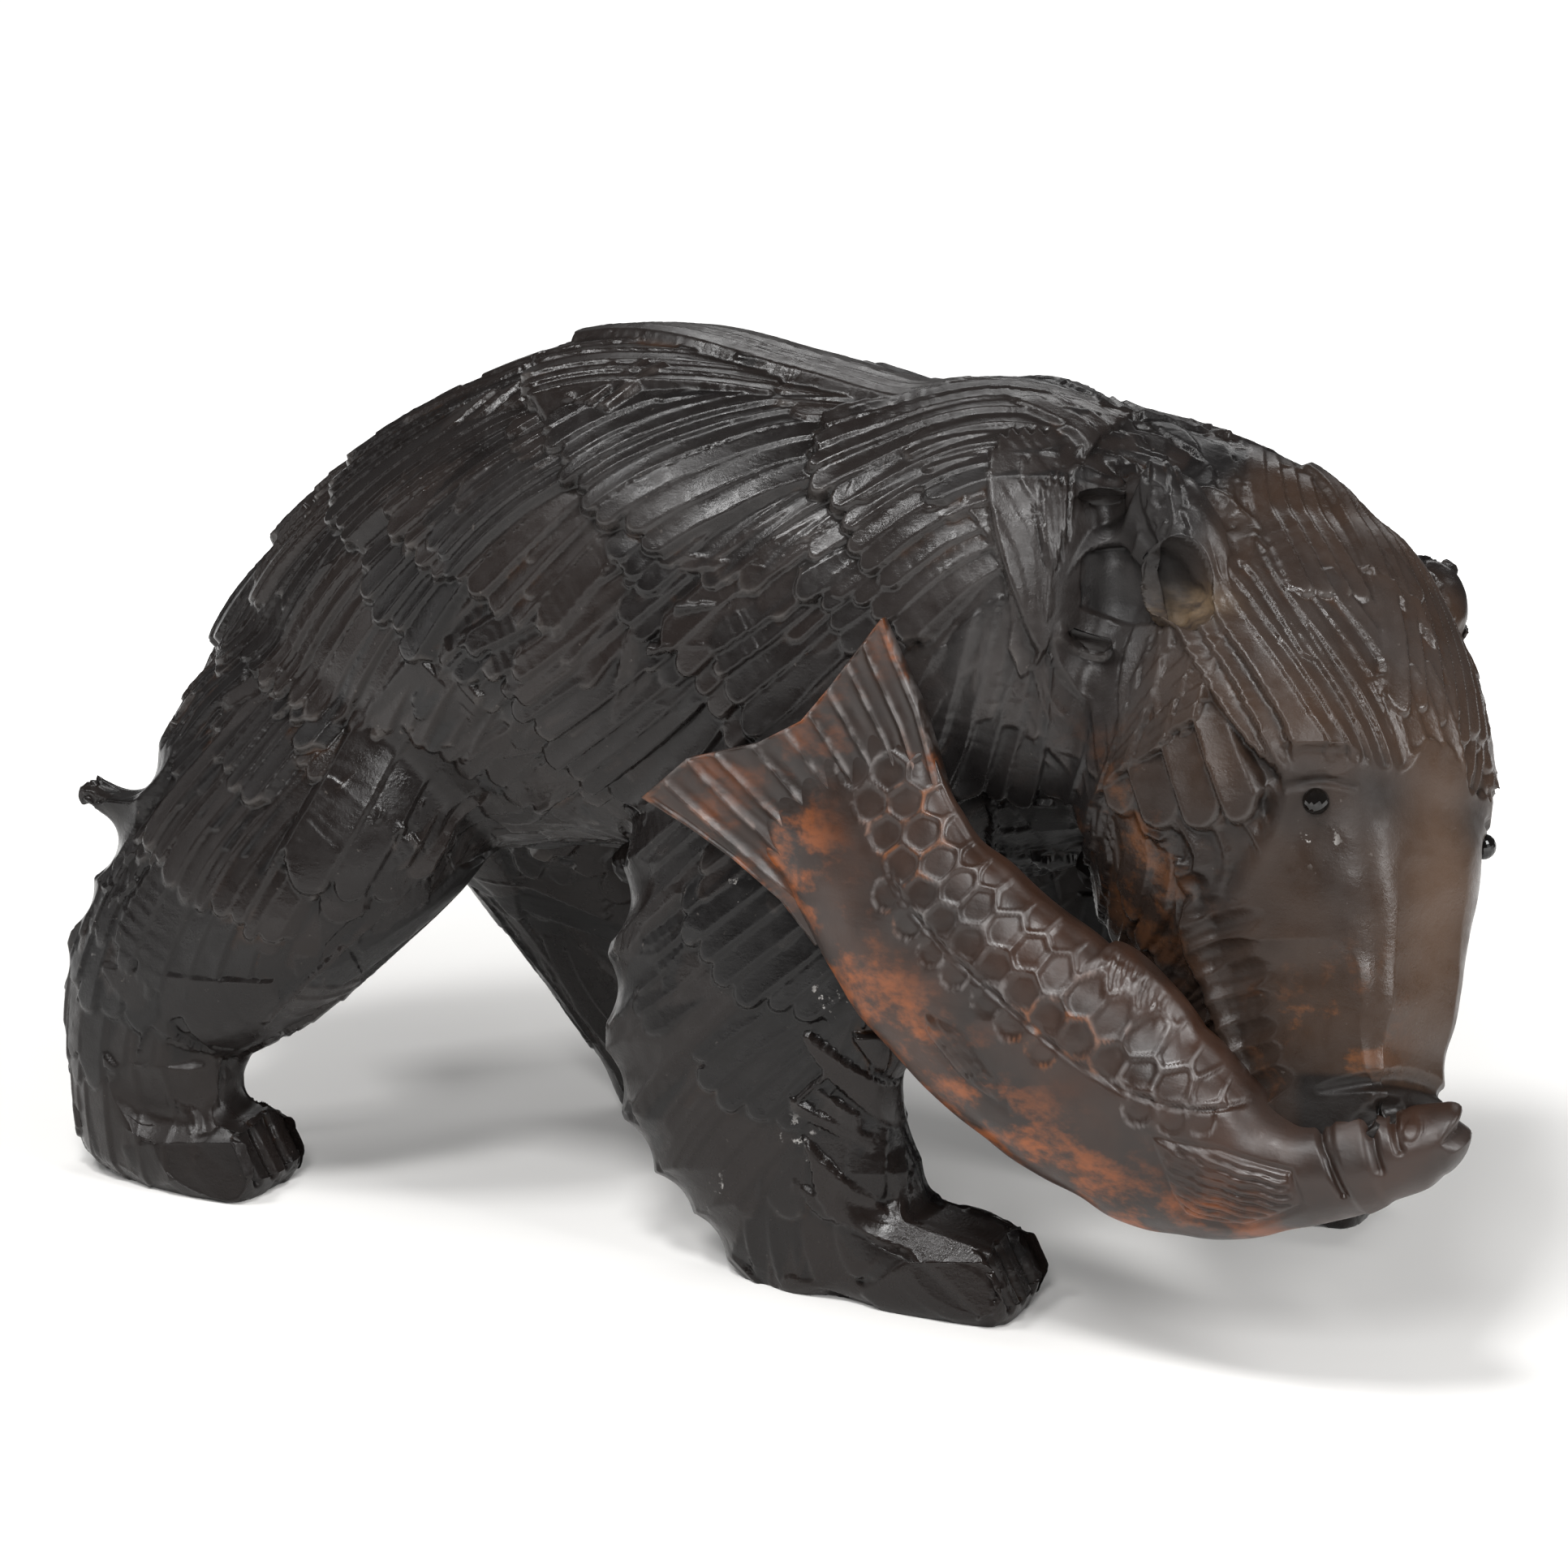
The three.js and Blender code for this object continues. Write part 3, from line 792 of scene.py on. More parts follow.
# ---------------------------------------------------------------- the bear
# Places with a colour of their own, and places with painted shade or a partly painted sheen: (frame, centre,
# radii, strength). The right side has y below 0.
SPOTS = {
    # painted shade in the gap behind the near ear
    "shade": [("body", (100, -45, 164), (8, 14, 17), 1)],
    "pale": [("head", (-36, -35, 40), (7, 8, 3.2), 1)],
    # a pale grey wax bloom, and a painted sheen where the highlights fall on the shoulder, the back, the
    # forehead and the side of the muzzle
    "sheen_and_bloom": [
        ("body", (84, -45, 152), (30, 30, 32), 1),
        ("body", (15, -50, 168), (70, 25, 16), 0.55),
        ("head", (-14, -10, 32), (26, 26, 20), 0.75),
        ("head", (-4, -17, -26), (7, 8, 16), 0.35),
    ],
    "bridge": [("head", (2, 2, -14), (7, 13, 34), 1)],
    "warm": [
        ("head", (-10, -20, -46), (16, 12, 13), 1),
        ("head", (-50, -36, -10), (14, 14, 22), 0.7),
    ],
    # little crusts of old white wax
    "residue": [
        ("body", (46, -58, 69), 7, 1),
        ("body", (22, -60, 90), 5, 1),
        ("body", (38, -58, 36), 6, 1),
        ("head", (-10, -24, -8), 5, 1),
        ("head", (-30, -38, -20), 5, 1),
        ("body", (-145, -60, 60), 6, 1),
        ("body", (20, -56, 20), 6, 1),
    ],
}
# painted shade in the hollows round both eyes and in both ear hollows
for side in (-1, 1):
    SPOTS["shade"] += [
        ("head", (-2, side * 15, 3), (7, 8, 6), 0.75),
        ("head", (-41, side * 39, 46), (8, 7, 10), 1),
        ("head", (-12, side * 26, 4), (6, 9, 5), 0.7),
    ]


# where the beard's stacked cuts start, behind the smooth side of the muzzle, at a few heights
BEARD_HEIGHTS = (-57, -14, -6, 2)
BEARD_REAR = (-33, -47, -44, -36)


def beard(surface, carver):
    """Short gouge cuts stacked between the cheek and the smooth side of the muzzle."""
    for side in (-1, 1):
        for k in range(9):
            z = -12 - 5.3 * k + rng.uniform(-0.5, 0.5)
            rear, front = np.interp(z, BEARD_HEIGHTS, BEARD_REAR), -28 + 0.9 * k + rng.uniform(-2, 2)
            y = side * (20.5 + (z + 30) * 0.136)
            points = [(rear - 2, y * 1.15, z - 4), ((rear + front) / 2, y, z - 0.5), (front, y * 0.97, z + 1)]
            points = from_head(points)
            line_cut(surface, carver, points, [3.0, 5.4, 2.4], 3.2, entry=4, leave=4, reach=4.4)


def ears(surface, carver):
    """The flutes down the front of each ear."""
    for side in (-1, 1):
        for k in (-2, -1, 0, 1, 2):
            top = (-45, side * (36 + 3.6 * k), 66 - abs(k))
            middle = (-44, side * (34 + 3.4 * k), 57)
            low = (-39, side * (31 + 3.2 * k), 44)
            flute = from_head([top, middle, low])
            line_cut(surface, carver, flute, [3.0, 4.6, 3.2], 1.9, entry=4, leave=4, reach=3)


def calm(points):
    """1 where fur is cut, falling to 0 on the smooth muzzle and round the eyes."""
    q = to_head(points)
    wide = 30 - 4 * np.clip(-q[:, 2] / 50, 0, 1)
    saw = np.abs((q[:, 1] / 5.2 + 0.13 * np.sin(q[:, 1])) % 1 - 0.5) * 2
    away = np.abs(q[:, 1])
    brow = 8.5 + 8 * np.exp(-((away / 8) ** 4)) + 0.05 * np.maximum(away - 18, 0) - 1.3 * saw
    rear = np.interp(q[:, 2], BEARD_HEIGHTS, BEARD_REAR)
    muzzle = (1 - soft(q[:, 2] - brow, 0, 1)) * soft(q[:, 0] - rear, -3, 0) * (1 - soft(away, wide, wide + 3))
    keep = 1 - muzzle * headness(points)
    for side in (-1, 1):
        r = ((q - (-38, side * 35, 54)) / (11, 11, 15)) ** 2
        keep = np.minimum(keep, soft(r.sum(1), 0.8, 1.25))
    return keep


def uncut_bear():
    """The rough shapes fused into one smooth skin, and that skin swollen out to take the cuts."""
    rough = new_mesh("rough", *merged(rough_block()))
    remesh = rough.modifiers.new("remesh", "REMESH")
    remesh.mode = "VOXEL"
    remesh.voxel_size = BASE_VOXEL * METRES
    smooth = rough.modifiers.new("smooth", "SMOOTH")
    smooth.factor, smooth.iterations = 0.5, 5
    rough = baked(rough, "rough")
    write_points(rough.data, read_points(rough.data) + read_normals(rough.data) * SWELL)
    return rough


def make_bear():
    """The uncut bear made fine, shaped, and cut all over along its normals."""
    rough = uncut_bear()
    surface = Surface(rough.data)
    rough.modifiers.new("fine", "SUBSURF").levels = SUBDIVISIONS
    bear = baked(rough, "bear_carving")
    points = shape_details(read_points(bear.data), read_normals(bear.data))
    write_points(bear.data, points)
    edges = edges_of(bear.data)
    normals = unit(neighbour_mean(read_normals(bear.data), edges, 4))
    carver = Carver(points, normals)
    fur = carve_fur(surface, carver)
    height = np.maximum(fur["height"], DEEPEST)
    keep = calm(points)
    facets = -2.2 + 0.2 * Noise(22, 3)(points) + 0.07 * Noise(9, 4)(points)
    # the legs' fur is shallower
    leg = (1 - soft(points[:, 2], 62, 92)) * soft(np.abs(points[:, 1]), 8, 18) * (1 - headness(points))
    height = height * (1 - 0.5 * leg) - 1.6 * leg - 0.9
    height = height * keep + facets * (1 - keep)
    for cuts in (scoops, claws, nose, beard, ears):
        cuts(surface, carver)
    height = np.minimum(height, -carver.depth)
    height = 0.65 * height + 0.35 * neighbour_mean(height, edges, 1)
    moved = points + normals * height[:, None]
    moved[:, 2] = np.maximum(moved[:, 2], 0.0)
    write_points(bear.data, moved)
    q = to_head(points)
    nose_pad = soft(-q[:, 2], 52.0, 53.5) * soft(q[:, 0], -20, -16) * (np.abs(q[:, 1]) < 24)
    looks = {
        "ridge": height - neighbour_mean(height, edges, 14),
        "face": headness(points),
        "nose": nose_pad,
        "tone": neighbour_mean(fur["tone"], edges, 1) * keep + 0.45 * (1 - keep),
        "wear_and_highlight": neighbour_mean(fur["wear_and_highlight"] * keep * (1 - 0.5 * leg), edges, 1),
    }
    for name, spots in SPOTS.items():
        looks[name] = spotted({"body": points, "head": q}, spots)
    for name, values in looks.items():
        put_attribute(bear.data, name, values)
    bear.data.shade_smooth()
    return bear


def spotted(frames, spots):
    """The strongest of the spots at each point."""
    most = np.zeros(len(frames["body"]))
    for frame_name, centre, radii, strength in spots:
        gap = (frames[frame_name] - centre) / radii
        most = np.maximum(most, strength * np.exp(-(gap**2).sum(1)))
    return most


def put_attribute(mesh, name, values):
    layer = mesh.attributes.new(name, "FLOAT", "POINT")
    layer.data.foreach_set("value", np.asarray(values, np.float32))


# ---------------------------------------------------------------- the salmon
SALMON = [
    (43, -51, 120, 25, 4),
    (56.7, -54, 100, 22, 8),
    (71.5, -55, 84, 24, 12),
    (97.5, -56, 66, 25, 13.5),
    (128, -56, 51, 20.5, 13.5),
    (150.5, -56, 48.5, 11.5, 12),
    (167, -55, 54, 9.5, 10),
    (180, -53.5, 59, 6.5, 7),
]
SALMON_UP = np.array([0.71, 0, 0.7])
# All these are (along, across) in mm on the salmon's near side, laid flat.
LATERAL_LINE = [(0, 3), (29, 5.2), (56, 6.8), (72, 7.4), (84, 6.9), (97, 8.2), (107, 10), (124, 14.5)]
SCALE_PITCH = 7.7
GILL_CUTS = [((143, 13), (145.5, 6), (146, -2)), ((152, 12), (154.5, 7), (154.5, 1)), ((158.5, 10), (159, 4))]
PECTORAL = [(107, 3.0), (122, 5.4), (137, 3.5), (138, -3.0), (128, -9.5), (118, -10.0)]
PELVIC = [(55, -7.0), (62, -4.5), (76, -8.0), (78, -11), (66, -12.5), (57, -10)]
DORSAL_FIN = (75.0, 103.0)


def groove(u, v, line, width, depth):
    """Height of a V groove along a polyline in the flat coordinates."""
    best = np.full(len(u), 1e9)
    for (u0, v0), (u1, v1) in zip(line[:-1], line[1:]):
        du, dv = u1 - u0, v1 - v0
        t = np.clip(((u - u0) * du + (v - v0) * dv) / (du * du + dv * dv), 0, 1)
        best = np.minimum(best, np.hypot(u - u0 - t * du, v - v0 - t * dv))
    return -depth * np.clip(1 - best / width, 0, 1) ** 1.3


def inside_outline(u, v, outline):
    """How far (u, v) is inside a convex outline, in mm. Negative outside."""
    o = np.array(outline, float)
    middle = o.mean(0)
    best = np.full(len(u), 1e9)
    for a, b in zip(o, np.roll(o, -1, 0)):
        edge = b - a
        n = np.array([-edge[1], edge[0]]) / np.hypot(*edge)
        if (middle - a) @ n < 0:
            n = -n
        best = np.minimum(best, (u - a[0]) * n[0] + (v - a[1]) * n[1])
    return best


def rayed_panel(u, v, outline, turn_deg, spacing, proud, cut):
    """A low raised fin with parallel lines cut in it."""
    depth_in = inside_outline(u, v, outline)
    up = proud * soft(depth_in, -0.4, 2.4) - 0.5 * np.exp(-((depth_in + 0.5) / 0.5) ** 2)
    a = math.radians(turn_deg)
    across = -u * math.sin(a) + v * math.cos(a)
    phase = (across / spacing + 0.12 * np.sin(u * 0.9)) % 1 - 0.5
    lines = -cut * np.clip(1 - np.abs(phase) * 3.2, 0, 1)
    return up + lines * soft(depth_in, 0.6, 1.4)


def scale_field(u, v):
    """(height, rim) of the cut scales at (along, across)."""
    line_u, line_v = np.array(LATERAL_LINE, float).T
    centres = []
    for row, lift in enumerate((3.9, 10.7, 17.4)):
        for k in range(18):
            cu = 6 + SCALE_PITCH * (k + 0.5 * (row % 2))
            cv = np.interp(cu, line_u, line_v) + lift
            jitter = rng.uniform(-0.55, 0.55, 2)
            if cu < 128 - row * 2:
                centres.append((cu + jitter[0], cv + jitter[1]))
    for k in range(13):
        cu = 30 + SCALE_PITCH * (k + 0.25)
        if rng.uniform() < 0.85:
            across = np.interp(cu, line_u, line_v) - 2.6
            centres.append((cu + rng.uniform(-0.8, 0.8), across + rng.uniform(-0.4, 0.4)))
    centres = np.array(centres)
    gap = np.hypot(u[:, None] - centres[:, 0], v[:, None] - centres[:, 1])
    gap.sort(axis=1)
    first, second = gap[:, 0], gap[:, 1]
    over = np.minimum(second - first, 2 * (4.15 - first))
    below = v < np.interp(u, line_u, line_v)
    over = np.where(below, 2 * (3.3 - first), over)
    depth = np.where(below, 0.45, 0.62)
    height = -depth * soft(over, 0.0, 1.7)
    rim = soft(over, -1.2, -0.1) * (1 - soft(over, 0.1, 1.1))
    return height, rim


def make_salmon():
    """The salmon's body, cut along its normals in flat coordinates: u from the tail, v up its side."""
    sides, per_span, dome_rings = 220, 44, 12
    points, faces = loft(
        SALMON, SALMON_UP, domes=(4, 6), sides=sides, per_span=per_span, dome_rings=dome_rings
    )
    rows = curve_through(SALMON, (len(SALMON) - 1) * per_span + 1)
    path = rows[:, :3]
    steps = np.linalg.norm(np.diff(path, axis=0), axis=1)
    arc = np.concatenate([[0], np.cumsum(steps)])
    along = unit(np.gradient(path, axis=0))
    wide = unit(SALMON_UP - along * (along @ SALMON_UP)[:, None])
    ring = np.arange(len(points)) // sides - dome_rings
    ring[-2:] = (-dome_rings, len(path) + dome_rings)
    which = np.clip(ring, 0, len(path) - 1)
    offset = points - path[which]
    u = arc[which] + (offset * along[which]).sum(1)
    v = (offset * wide[which]).sum(1)
    salmon = new_mesh("salmon_body", points, faces)
    normals = read_normals(salmon.data)
    near = soft(-normals[:, 1], 0.1, 0.45)
    height, rim = scale_field(u, v)
    height = height * near
    line = [(a, b) for a, b in LATERAL_LINE if a > 20]
    height += near * groove(u, v, line, 0.9, 1.0)
    for cut in GILL_CUTS:
        height += near * groove(u, v, list(cut), 1.3, 1.3)
    # each gill cover stands a little proud of the one behind it
    height += near * 0.7 * soft(u, 146.5, 148) * (1 - soft(u, 152, 154))
    height += near * rayed_panel(u, v, PECTORAL, -6, 1.75, 1.1, 0.8)
    height += near * rayed_panel(u, v, PELVIC, -12, 1.5, 0.7, 0.7)
    eye = np.hypot(u - 161.5, v - 6.2)
    height += near * (-0.3 * np.exp(-((eye - 1.7) / 0.45) ** 2))
    moved = points + normals * (height + 0.25 * Noise(13, 21)(points))[:, None]
    # the back fin rises from the upper edge
    share = np.clip((u - DORSAL_FIN[0]) / (DORSAL_FIN[1] - DORSAL_FIN[0]), 0, 1)
    rise = np.sin(np.pi * share**0.7) ** 0.6
    rays = np.abs(((u + 0.9 * v) / 2.4) % 1 - 0.5)
    edge = soft(v, 19, 24) * rise
    moved += wide[which] * (edge * 3.4)[:, None]
    moved += normals * (near * edge * -0.8 * (1 - rays * 2))[:, None]
    # the open mouth
    moved += along[which] * ((v - 2.6) * 0.42 * soft(u, 158, 172))[:, None]
    lips = soft(u, 165, 172) * np.clip(1 - np.abs(v - 2.2) / 2.8, 0, 1)
    moved -= along[which] * (lips * 3.0)[:, None]
    write_points(salmon.data, moved)
    put_attribute(salmon.data, "rim", rim * near)
    belly = soft(-v, -4, 16) * np.clip(near + 0.4, 0, 1) * (1 - soft(u, 118, 150))
    put_attribute(salmon.data, "belly", belly)
    salmon.data.shade_smooth()
    return salmon


TAIL_AT = np.array([53.0, -55.0, 101.0])
TAIL_ACROSS = unit([0.79, 0, 0.61])
TAIL_ALONG = unit([-0.61, 0, 0.79])
TAIL_LEFT = [(-21, -10), (-22, 2), (-26, 15), (-30.5, 26), (-35.5, 36.5)]
TAIL_RIGHT = [(21, -14), (23, 0), (30, 18), (33, 30), (35.5, 37)]
TAIL_FORK = [(-35.5, 36.5), (-21, 37.5), (-5, 31.5), (7, 29.8), (17, 32), (35.5, 37)]
TAIL_FLUTES = 10


def make_tail():
    """The fluted tail fan, a plate whose free edge is thin."""
    across, along = 260, 110
    a, b = np.meshgrid(np.linspace(0, 1, across + 1), np.linspace(0, 1, along + 1), indexing="ij")
    left, right, fork = (np.array(q, float) for q in (TAIL_LEFT, TAIL_RIGHT, TAIL_FORK))

    def on(line, t):
        return np.stack([np.interp(t, np.linspace(0, 1, len(line)), column) for column in line.T], -1)

    low, high = on(left, b), on(right, b)
    fork_k = (fork[:, 0] - fork[0, 0]) / (fork[-1, 0] - fork[0, 0])
    end = np.interp(a, fork_k, fork[:, 1])
    straight_end = np.interp(a, [0, 1], [fork[0, 1], fork[-1, 1]])
    flat = low * (1 - a[..., None]) + high * a[..., None]
    flat[..., 1] += (end - straight_end) * b**1.5
    # the flutes fan out and their widths differ
    share = rng.uniform(0.8, 1.25, TAIL_FLUTES)
    edges = np.concatenate([[0], np.cumsum(share)]) / share.sum()
    bent = np.clip(a + 0.05 * np.sin(b * 3.0) * (1 - a), 0, 1)
    i = np.clip(np.searchsorted(edges, bent, side="right") - 1, 0, TAIL_FLUTES - 1)
    x = (bent - edges[i]) / (edges[i + 1] - edges[i]) * 2 - 1
    strength = soft(b, 0.12, 0.45)
    flute = 1.5 * (x * x - 1) * strength
    thick = 7.0 * (1 - b) + 3.4 * b
    rim = np.minimum(np.minimum(a, 1 - a) * 55, (1 - b) * 45)
    lip = soft(rim, 0, 1.2)
    front = 1.0 + flute * lip - 0.9 * (1 - lip) + 2.5 * b**2
    back = 0.5 + 3.0 * b**2 - thick

    def place(height):
        sheet = TAIL_AT + flat[..., :1] * TAIL_ACROSS + flat[..., 1:] * TAIL_ALONG
        return (sheet - height[..., None] * np.array([0, 1.0, 0])).reshape(-1, 3)

    n = along + 1
    total = (across + 1) * n
    points = np.vstack([place(front), place(back)])
    i, j = np.meshgrid(np.arange(across), np.arange(along), indexing="ij")
    v = (i * n + j).ravel()
    faces = [(k, k + n, k + n + 1, k + 1) for k in v] + [
        (k + total, k + 1 + total, k + n + 1 + total, k + n + total) for k in v
    ]
    loop = (
        [k * n for k in range(across)]
        + [across * n + k for k in range(along)]
        + [k * n + along for k in range(across, 0, -1)]
        + list(range(along, 0, -1))
    )
    for k, m in zip(loop, loop[1:] + loop[:1]):
        faces.append((m, k, k + total, m + total))
    tail = new_mesh("salmon_tail", points, faces)
    crest = soft(np.abs(x), 0.62, 0.98) * strength
    edge = 1 - soft(rim, 0.2, 1.6)
    both = np.concatenate([np.maximum(crest, 0.6 * edge).ravel(), 0.6 * edge.ravel()])
    put_attribute(tail.data, "rim", both)
    warm = np.concatenate([(0.35 + 0.65 * edge).ravel(), np.full(edge.size, 0.3)])
    put_attribute(tail.data, "belly", warm * 0.8)
    tail.data.shade_smooth()
    return tail


# ---------------------------------------------------------------- materials
GRAIN = (0.12, 1, 1)  # the grain runs along the block


class Nodes:
    """Short ways to build a node tree."""

    def __init__(self, name):
        self.material = bpy.data.materials.new(name)
        self.material.use_nodes = True
        self.tree = self.material.node_tree
        self.shader = self.tree.nodes["Principled BSDF"]

    def new(self, kind, **values):
        node = self.tree.nodes.new(kind)
        for key, value in values.items():
            setattr(node, key, value)
        return node

    def link(self, source, target):
        self.tree.links.new(source, target)

    def put(self, socket, value):
        if hasattr(value, "is_linked") or hasattr(value, "links"):
            self.link(value, socket)
        else:
            socket.default_value = value

    def place(self, scale=(1, 1, 1)):
        where = self.new("ShaderNodeTexCoord").outputs["Object"]
        mapping = self.new("ShaderNodeMapping")
        mapping.inputs["Scale"].default_value = scale
        self.link(where, mapping.inputs["Vector"])
        return mapping.outputs["Vector"]

    def noise(self, scale, detail=3.0, rough=0.55, stretch=(1, 1, 1)):
        node = self.new("ShaderNodeTexNoise")
        self.link(self.place(stretch), node.inputs["Vector"])
        node.inputs["Scale"].default_value = scale
        node.inputs["Detail"].default_value = detail
        node.inputs["Roughness"].default_value = rough
        return node.outputs["Fac"]

    def attribute(self, name):
        return self.new("ShaderNodeAttribute", attribute_name=name).outputs["Fac"]

    def ramp(self, value, low, high, to_low=0.0, to_high=1.0):
        node = self.new("ShaderNodeMapRange")
        node.interpolation_type = "SMOOTHSTEP"
        self.put(node.inputs["Value"], value)
        for key, number in zip(("From Min", "From Max", "To Min", "To Max"), (low, high, to_low, to_high)):
            node.inputs[key].default_value = number
        return node.outputs["Result"]

    def math(self, kind, a, b=0.0):
        node = self.new("ShaderNodeMath", operation=kind)
        self.put(node.inputs[0], a)
        self.put(node.inputs[1], b)
        return node.outputs[0]

    def times(self, a, b):
        return self.math("MULTIPLY", a, b)

    def shift(self, a, b):
        return self.math("ADD", a, b)

    def over(self, colour, share, strength, paint):
        """The colour with paint over it where share is high."""
        return self.mix(self.times(share, strength), colour, paint)

    def set(self, **sockets):
        """Values or links for the shader's sockets, with _ for a blank in a name."""
        for name, value in sockets.items():
            self.put(self.shader.inputs[name.replace("_", " ")], value)
        return self.material

    def mix(self, share, a, b):
        node = self.new("ShaderNodeMix", data_type="RGBA")
        self.put(node.inputs["Factor"], share)
        for socket, value in zip((node.inputs[6], node.inputs[7]), (a, b)):
            if isinstance(value, tuple):
                socket.default_value = (*value, 1)
            else:
                self.link(value, socket)
        return node.outputs[2]

    def bump(self, height, distance, strength=1.0, below=None):
        node = self.new("ShaderNodeBump")
        node.inputs["Strength"].default_value = strength
        node.inputs["Distance"].default_value = distance
        self.link(height, node.inputs["Height"])
        if below is not None:
            self.link(below, node.inputs["Normal"])
        return node.outputs["Normal"]


# colours of the bear's wood, in linear light, with painted shade and partly painted highlights among them
COAL, UMBER, CHESTNUT = (0.0058, 0.0051, 0.0051), (0.0140, 0.0104, 0.0092), (0.040, 0.0235, 0.0155)
LIGHTER_BRIDGE_BROWN, SHEEN_AND_BLOOM_GREY, ORANGE_GLOW = (0.085, 0.052, 0.034), (0.052, 0.047, 0.045), (0.16, 0.058, 0.018)
SCUFFED_AND_HIGHLIT_EDGE, RUST, DUST = (0.088, 0.078, 0.072), (0.105, 0.042, 0.014), (0.12, 0.105, 0.095)
CREVICE_SHADE_BLACK, NOSE_AND_SHADE_BLACK = (0.003, 0.0024, 0.002), (0.0045, 0.0038, 0.0036)
BARE_WOOD, OLD_WAX = (0.20, 0.135, 0.075), (0.36, 0.345, 0.33)


def stained_wood():
    n = Nodes("stained_wood")
    tone = n.shift(n.times(n.attribute("tone"), 0.6), n.times(n.noise(16, 3), 0.5))
    colour = n.mix(n.ramp(tone, 0.25, 0.85), COAL, UMBER)
    face = n.times(n.attribute("face"), n.ramp(n.noise(24, 3), 0.3, 0.75, 0.2, 0.95))
    colour = n.mix(face, colour, CHESTNUT)
    # the bridge of the nose is painted a lighter brown
    colour = n.over(colour, n.attribute("bridge"), 0.8, LIGHTER_BRIDGE_BROWN)
    # pale grey wax bloom, partly a painted sheen over the highlit shoulder, back, forehead and muzzle
    patchy = n.ramp(n.noise(34, 4, 0.65), 0.36, 0.62, 0.15, 1.0)
    colour = n.over(colour, n.times(n.attribute("sheen_and_bloom"), patchy), 0.75, SHEEN_AND_BLOOM_GREY)
    glow = n.times(n.attribute("warm"), n.ramp(n.noise(60, 5, 0.7, (1, 1, 1.5)), 0.50, 0.64))
    colour = n.over(colour, glow, 0.75, ORANGE_GLOW)
    scuffed_and_highlit = n.ramp(n.noise(75, 5, 0.7), 0.42, 0.68)
    # the worn tips and proud edges are painted a lighter grey, which is also a painted highlight
    colour = n.over(colour, n.times(n.ramp(n.attribute("wear_and_highlight"), 0.25, 1.0), scuffed_and_highlit), 0.5, SCUFFED_AND_HIGHLIT_EDGE)
    low = n.ramp(n.attribute("ridge"), 0.0, -0.9)
    colour = n.over(colour, n.times(low, n.ramp(n.noise(38, 5, 0.7), 0.56, 0.68)), 0.55, RUST)
    colour = n.over(colour, n.ramp(n.noise(620, 2), 0.72, 0.78), 0.35, DUST)
    # painted shade: the grooves and hollows between the locks are darkened towards black
    colour = n.over(colour, low, 0.6, CREVICE_SHADE_BLACK)
    # the black nose pad, and painted shade in the eye hollows, the ear hollows and the gap behind the near
    # ear
    dark = n.math("MAXIMUM", n.attribute("nose"), n.attribute("shade"))
    colour = n.over(colour, dark, 0.85, NOSE_AND_SHADE_BLACK)
    pale = n.times(n.attribute("pale"), n.ramp(n.noise(150, 4, 0.7, (0.3, 1, 1)), 0.3, 0.6))
    colour = n.over(colour, pale, 0.8, BARE_WOOD)
    crust = n.times(n.ramp(n.attribute("residue"), 0.2, 0.9), n.ramp(n.noise(300, 4, 0.65), 0.60, 0.66))
    colour = n.over(colour, crust, 0.85, OLD_WAX)
    rough = n.shift(n.ramp(n.noise(20, 3), 0.3, 0.7, 0.42, 0.22), n.times(n.attribute("tone"), -0.06))
    rough = n.shift(rough, n.ramp(n.noise(260, 3), 0.3, 0.7, -0.06, 0.10))
    rough = n.shift(rough, n.times(n.attribute("shade"), 0.35))
    rough = n.shift(rough, n.times(n.attribute("wear_and_highlight"), -0.12))
    grain = n.bump(n.noise(420, 3, stretch=GRAIN), 0.00012, 0.6)
    pores = n.bump(n.noise(1300, 3, 0.7), 0.00010, 0.7, grain)
    return n.set(Base_Color=colour, Roughness=rough, Normal=pores, Specular_IOR_Level=0.30)


def salmon_wood():
    n = Nodes("salmon_wood")
    dark, brown, orange = (0.014, 0.0085, 0.0064), (0.038, 0.0160, 0.0085), (0.30, 0.080, 0.015)
    worn_grey, worn_red = (0.17, 0.155, 0.15), (0.24, 0.085, 0.03)
    colour = n.mix(n.ramp(n.noise(30, 4), 0.35, 0.7), dark, brown)
    mottle = n.ramp(n.noise(55, 5, 0.65, (1, 1, 1.6)), 0.47, 0.66)
    colour = n.over(colour, n.times(n.attribute("belly"), mottle), 0.85, orange)
    rim = n.times(n.attribute("rim"), n.ramp(n.noise(230, 4), 0.42, 0.62))
    worn = n.mix(n.ramp(n.noise(40, 2), 0.53, 0.68), worn_grey, worn_red)
    colour = n.over(colour, rim, 0.6, worn)
    rough = n.ramp(n.noise(110, 4), 0.3, 0.7, 0.30, 0.50)
    grain = n.bump(n.noise(420, 3, stretch=GRAIN), 0.00012, 0.5)
    return n.set(Base_Color=colour, Roughness=rough, Normal=n.bump(n.noise(900, 2), 0.00006, 0.6, grain))


def black_glass():
    n = Nodes("black_glass")
    colour = n.mix(n.noise(200, 2), (0.002, 0.002, 0.002), (0.006, 0.004, 0.003))
    return n.set(Base_Color=colour, Roughness=n.ramp(n.noise(300, 2), 0.3, 0.7, 0.03, 0.08))


def wire():
    n = Nodes("eye_wire")
    colour = n.mix(n.noise(500, 2), (0.3, 0.29, 0.27), (0.5, 0.48, 0.45))
    return n.set(Base_Color=colour, Metallic=1.0, Roughness=n.ramp(n.noise(600, 2), 0.3, 0.7, 0.25, 0.45))


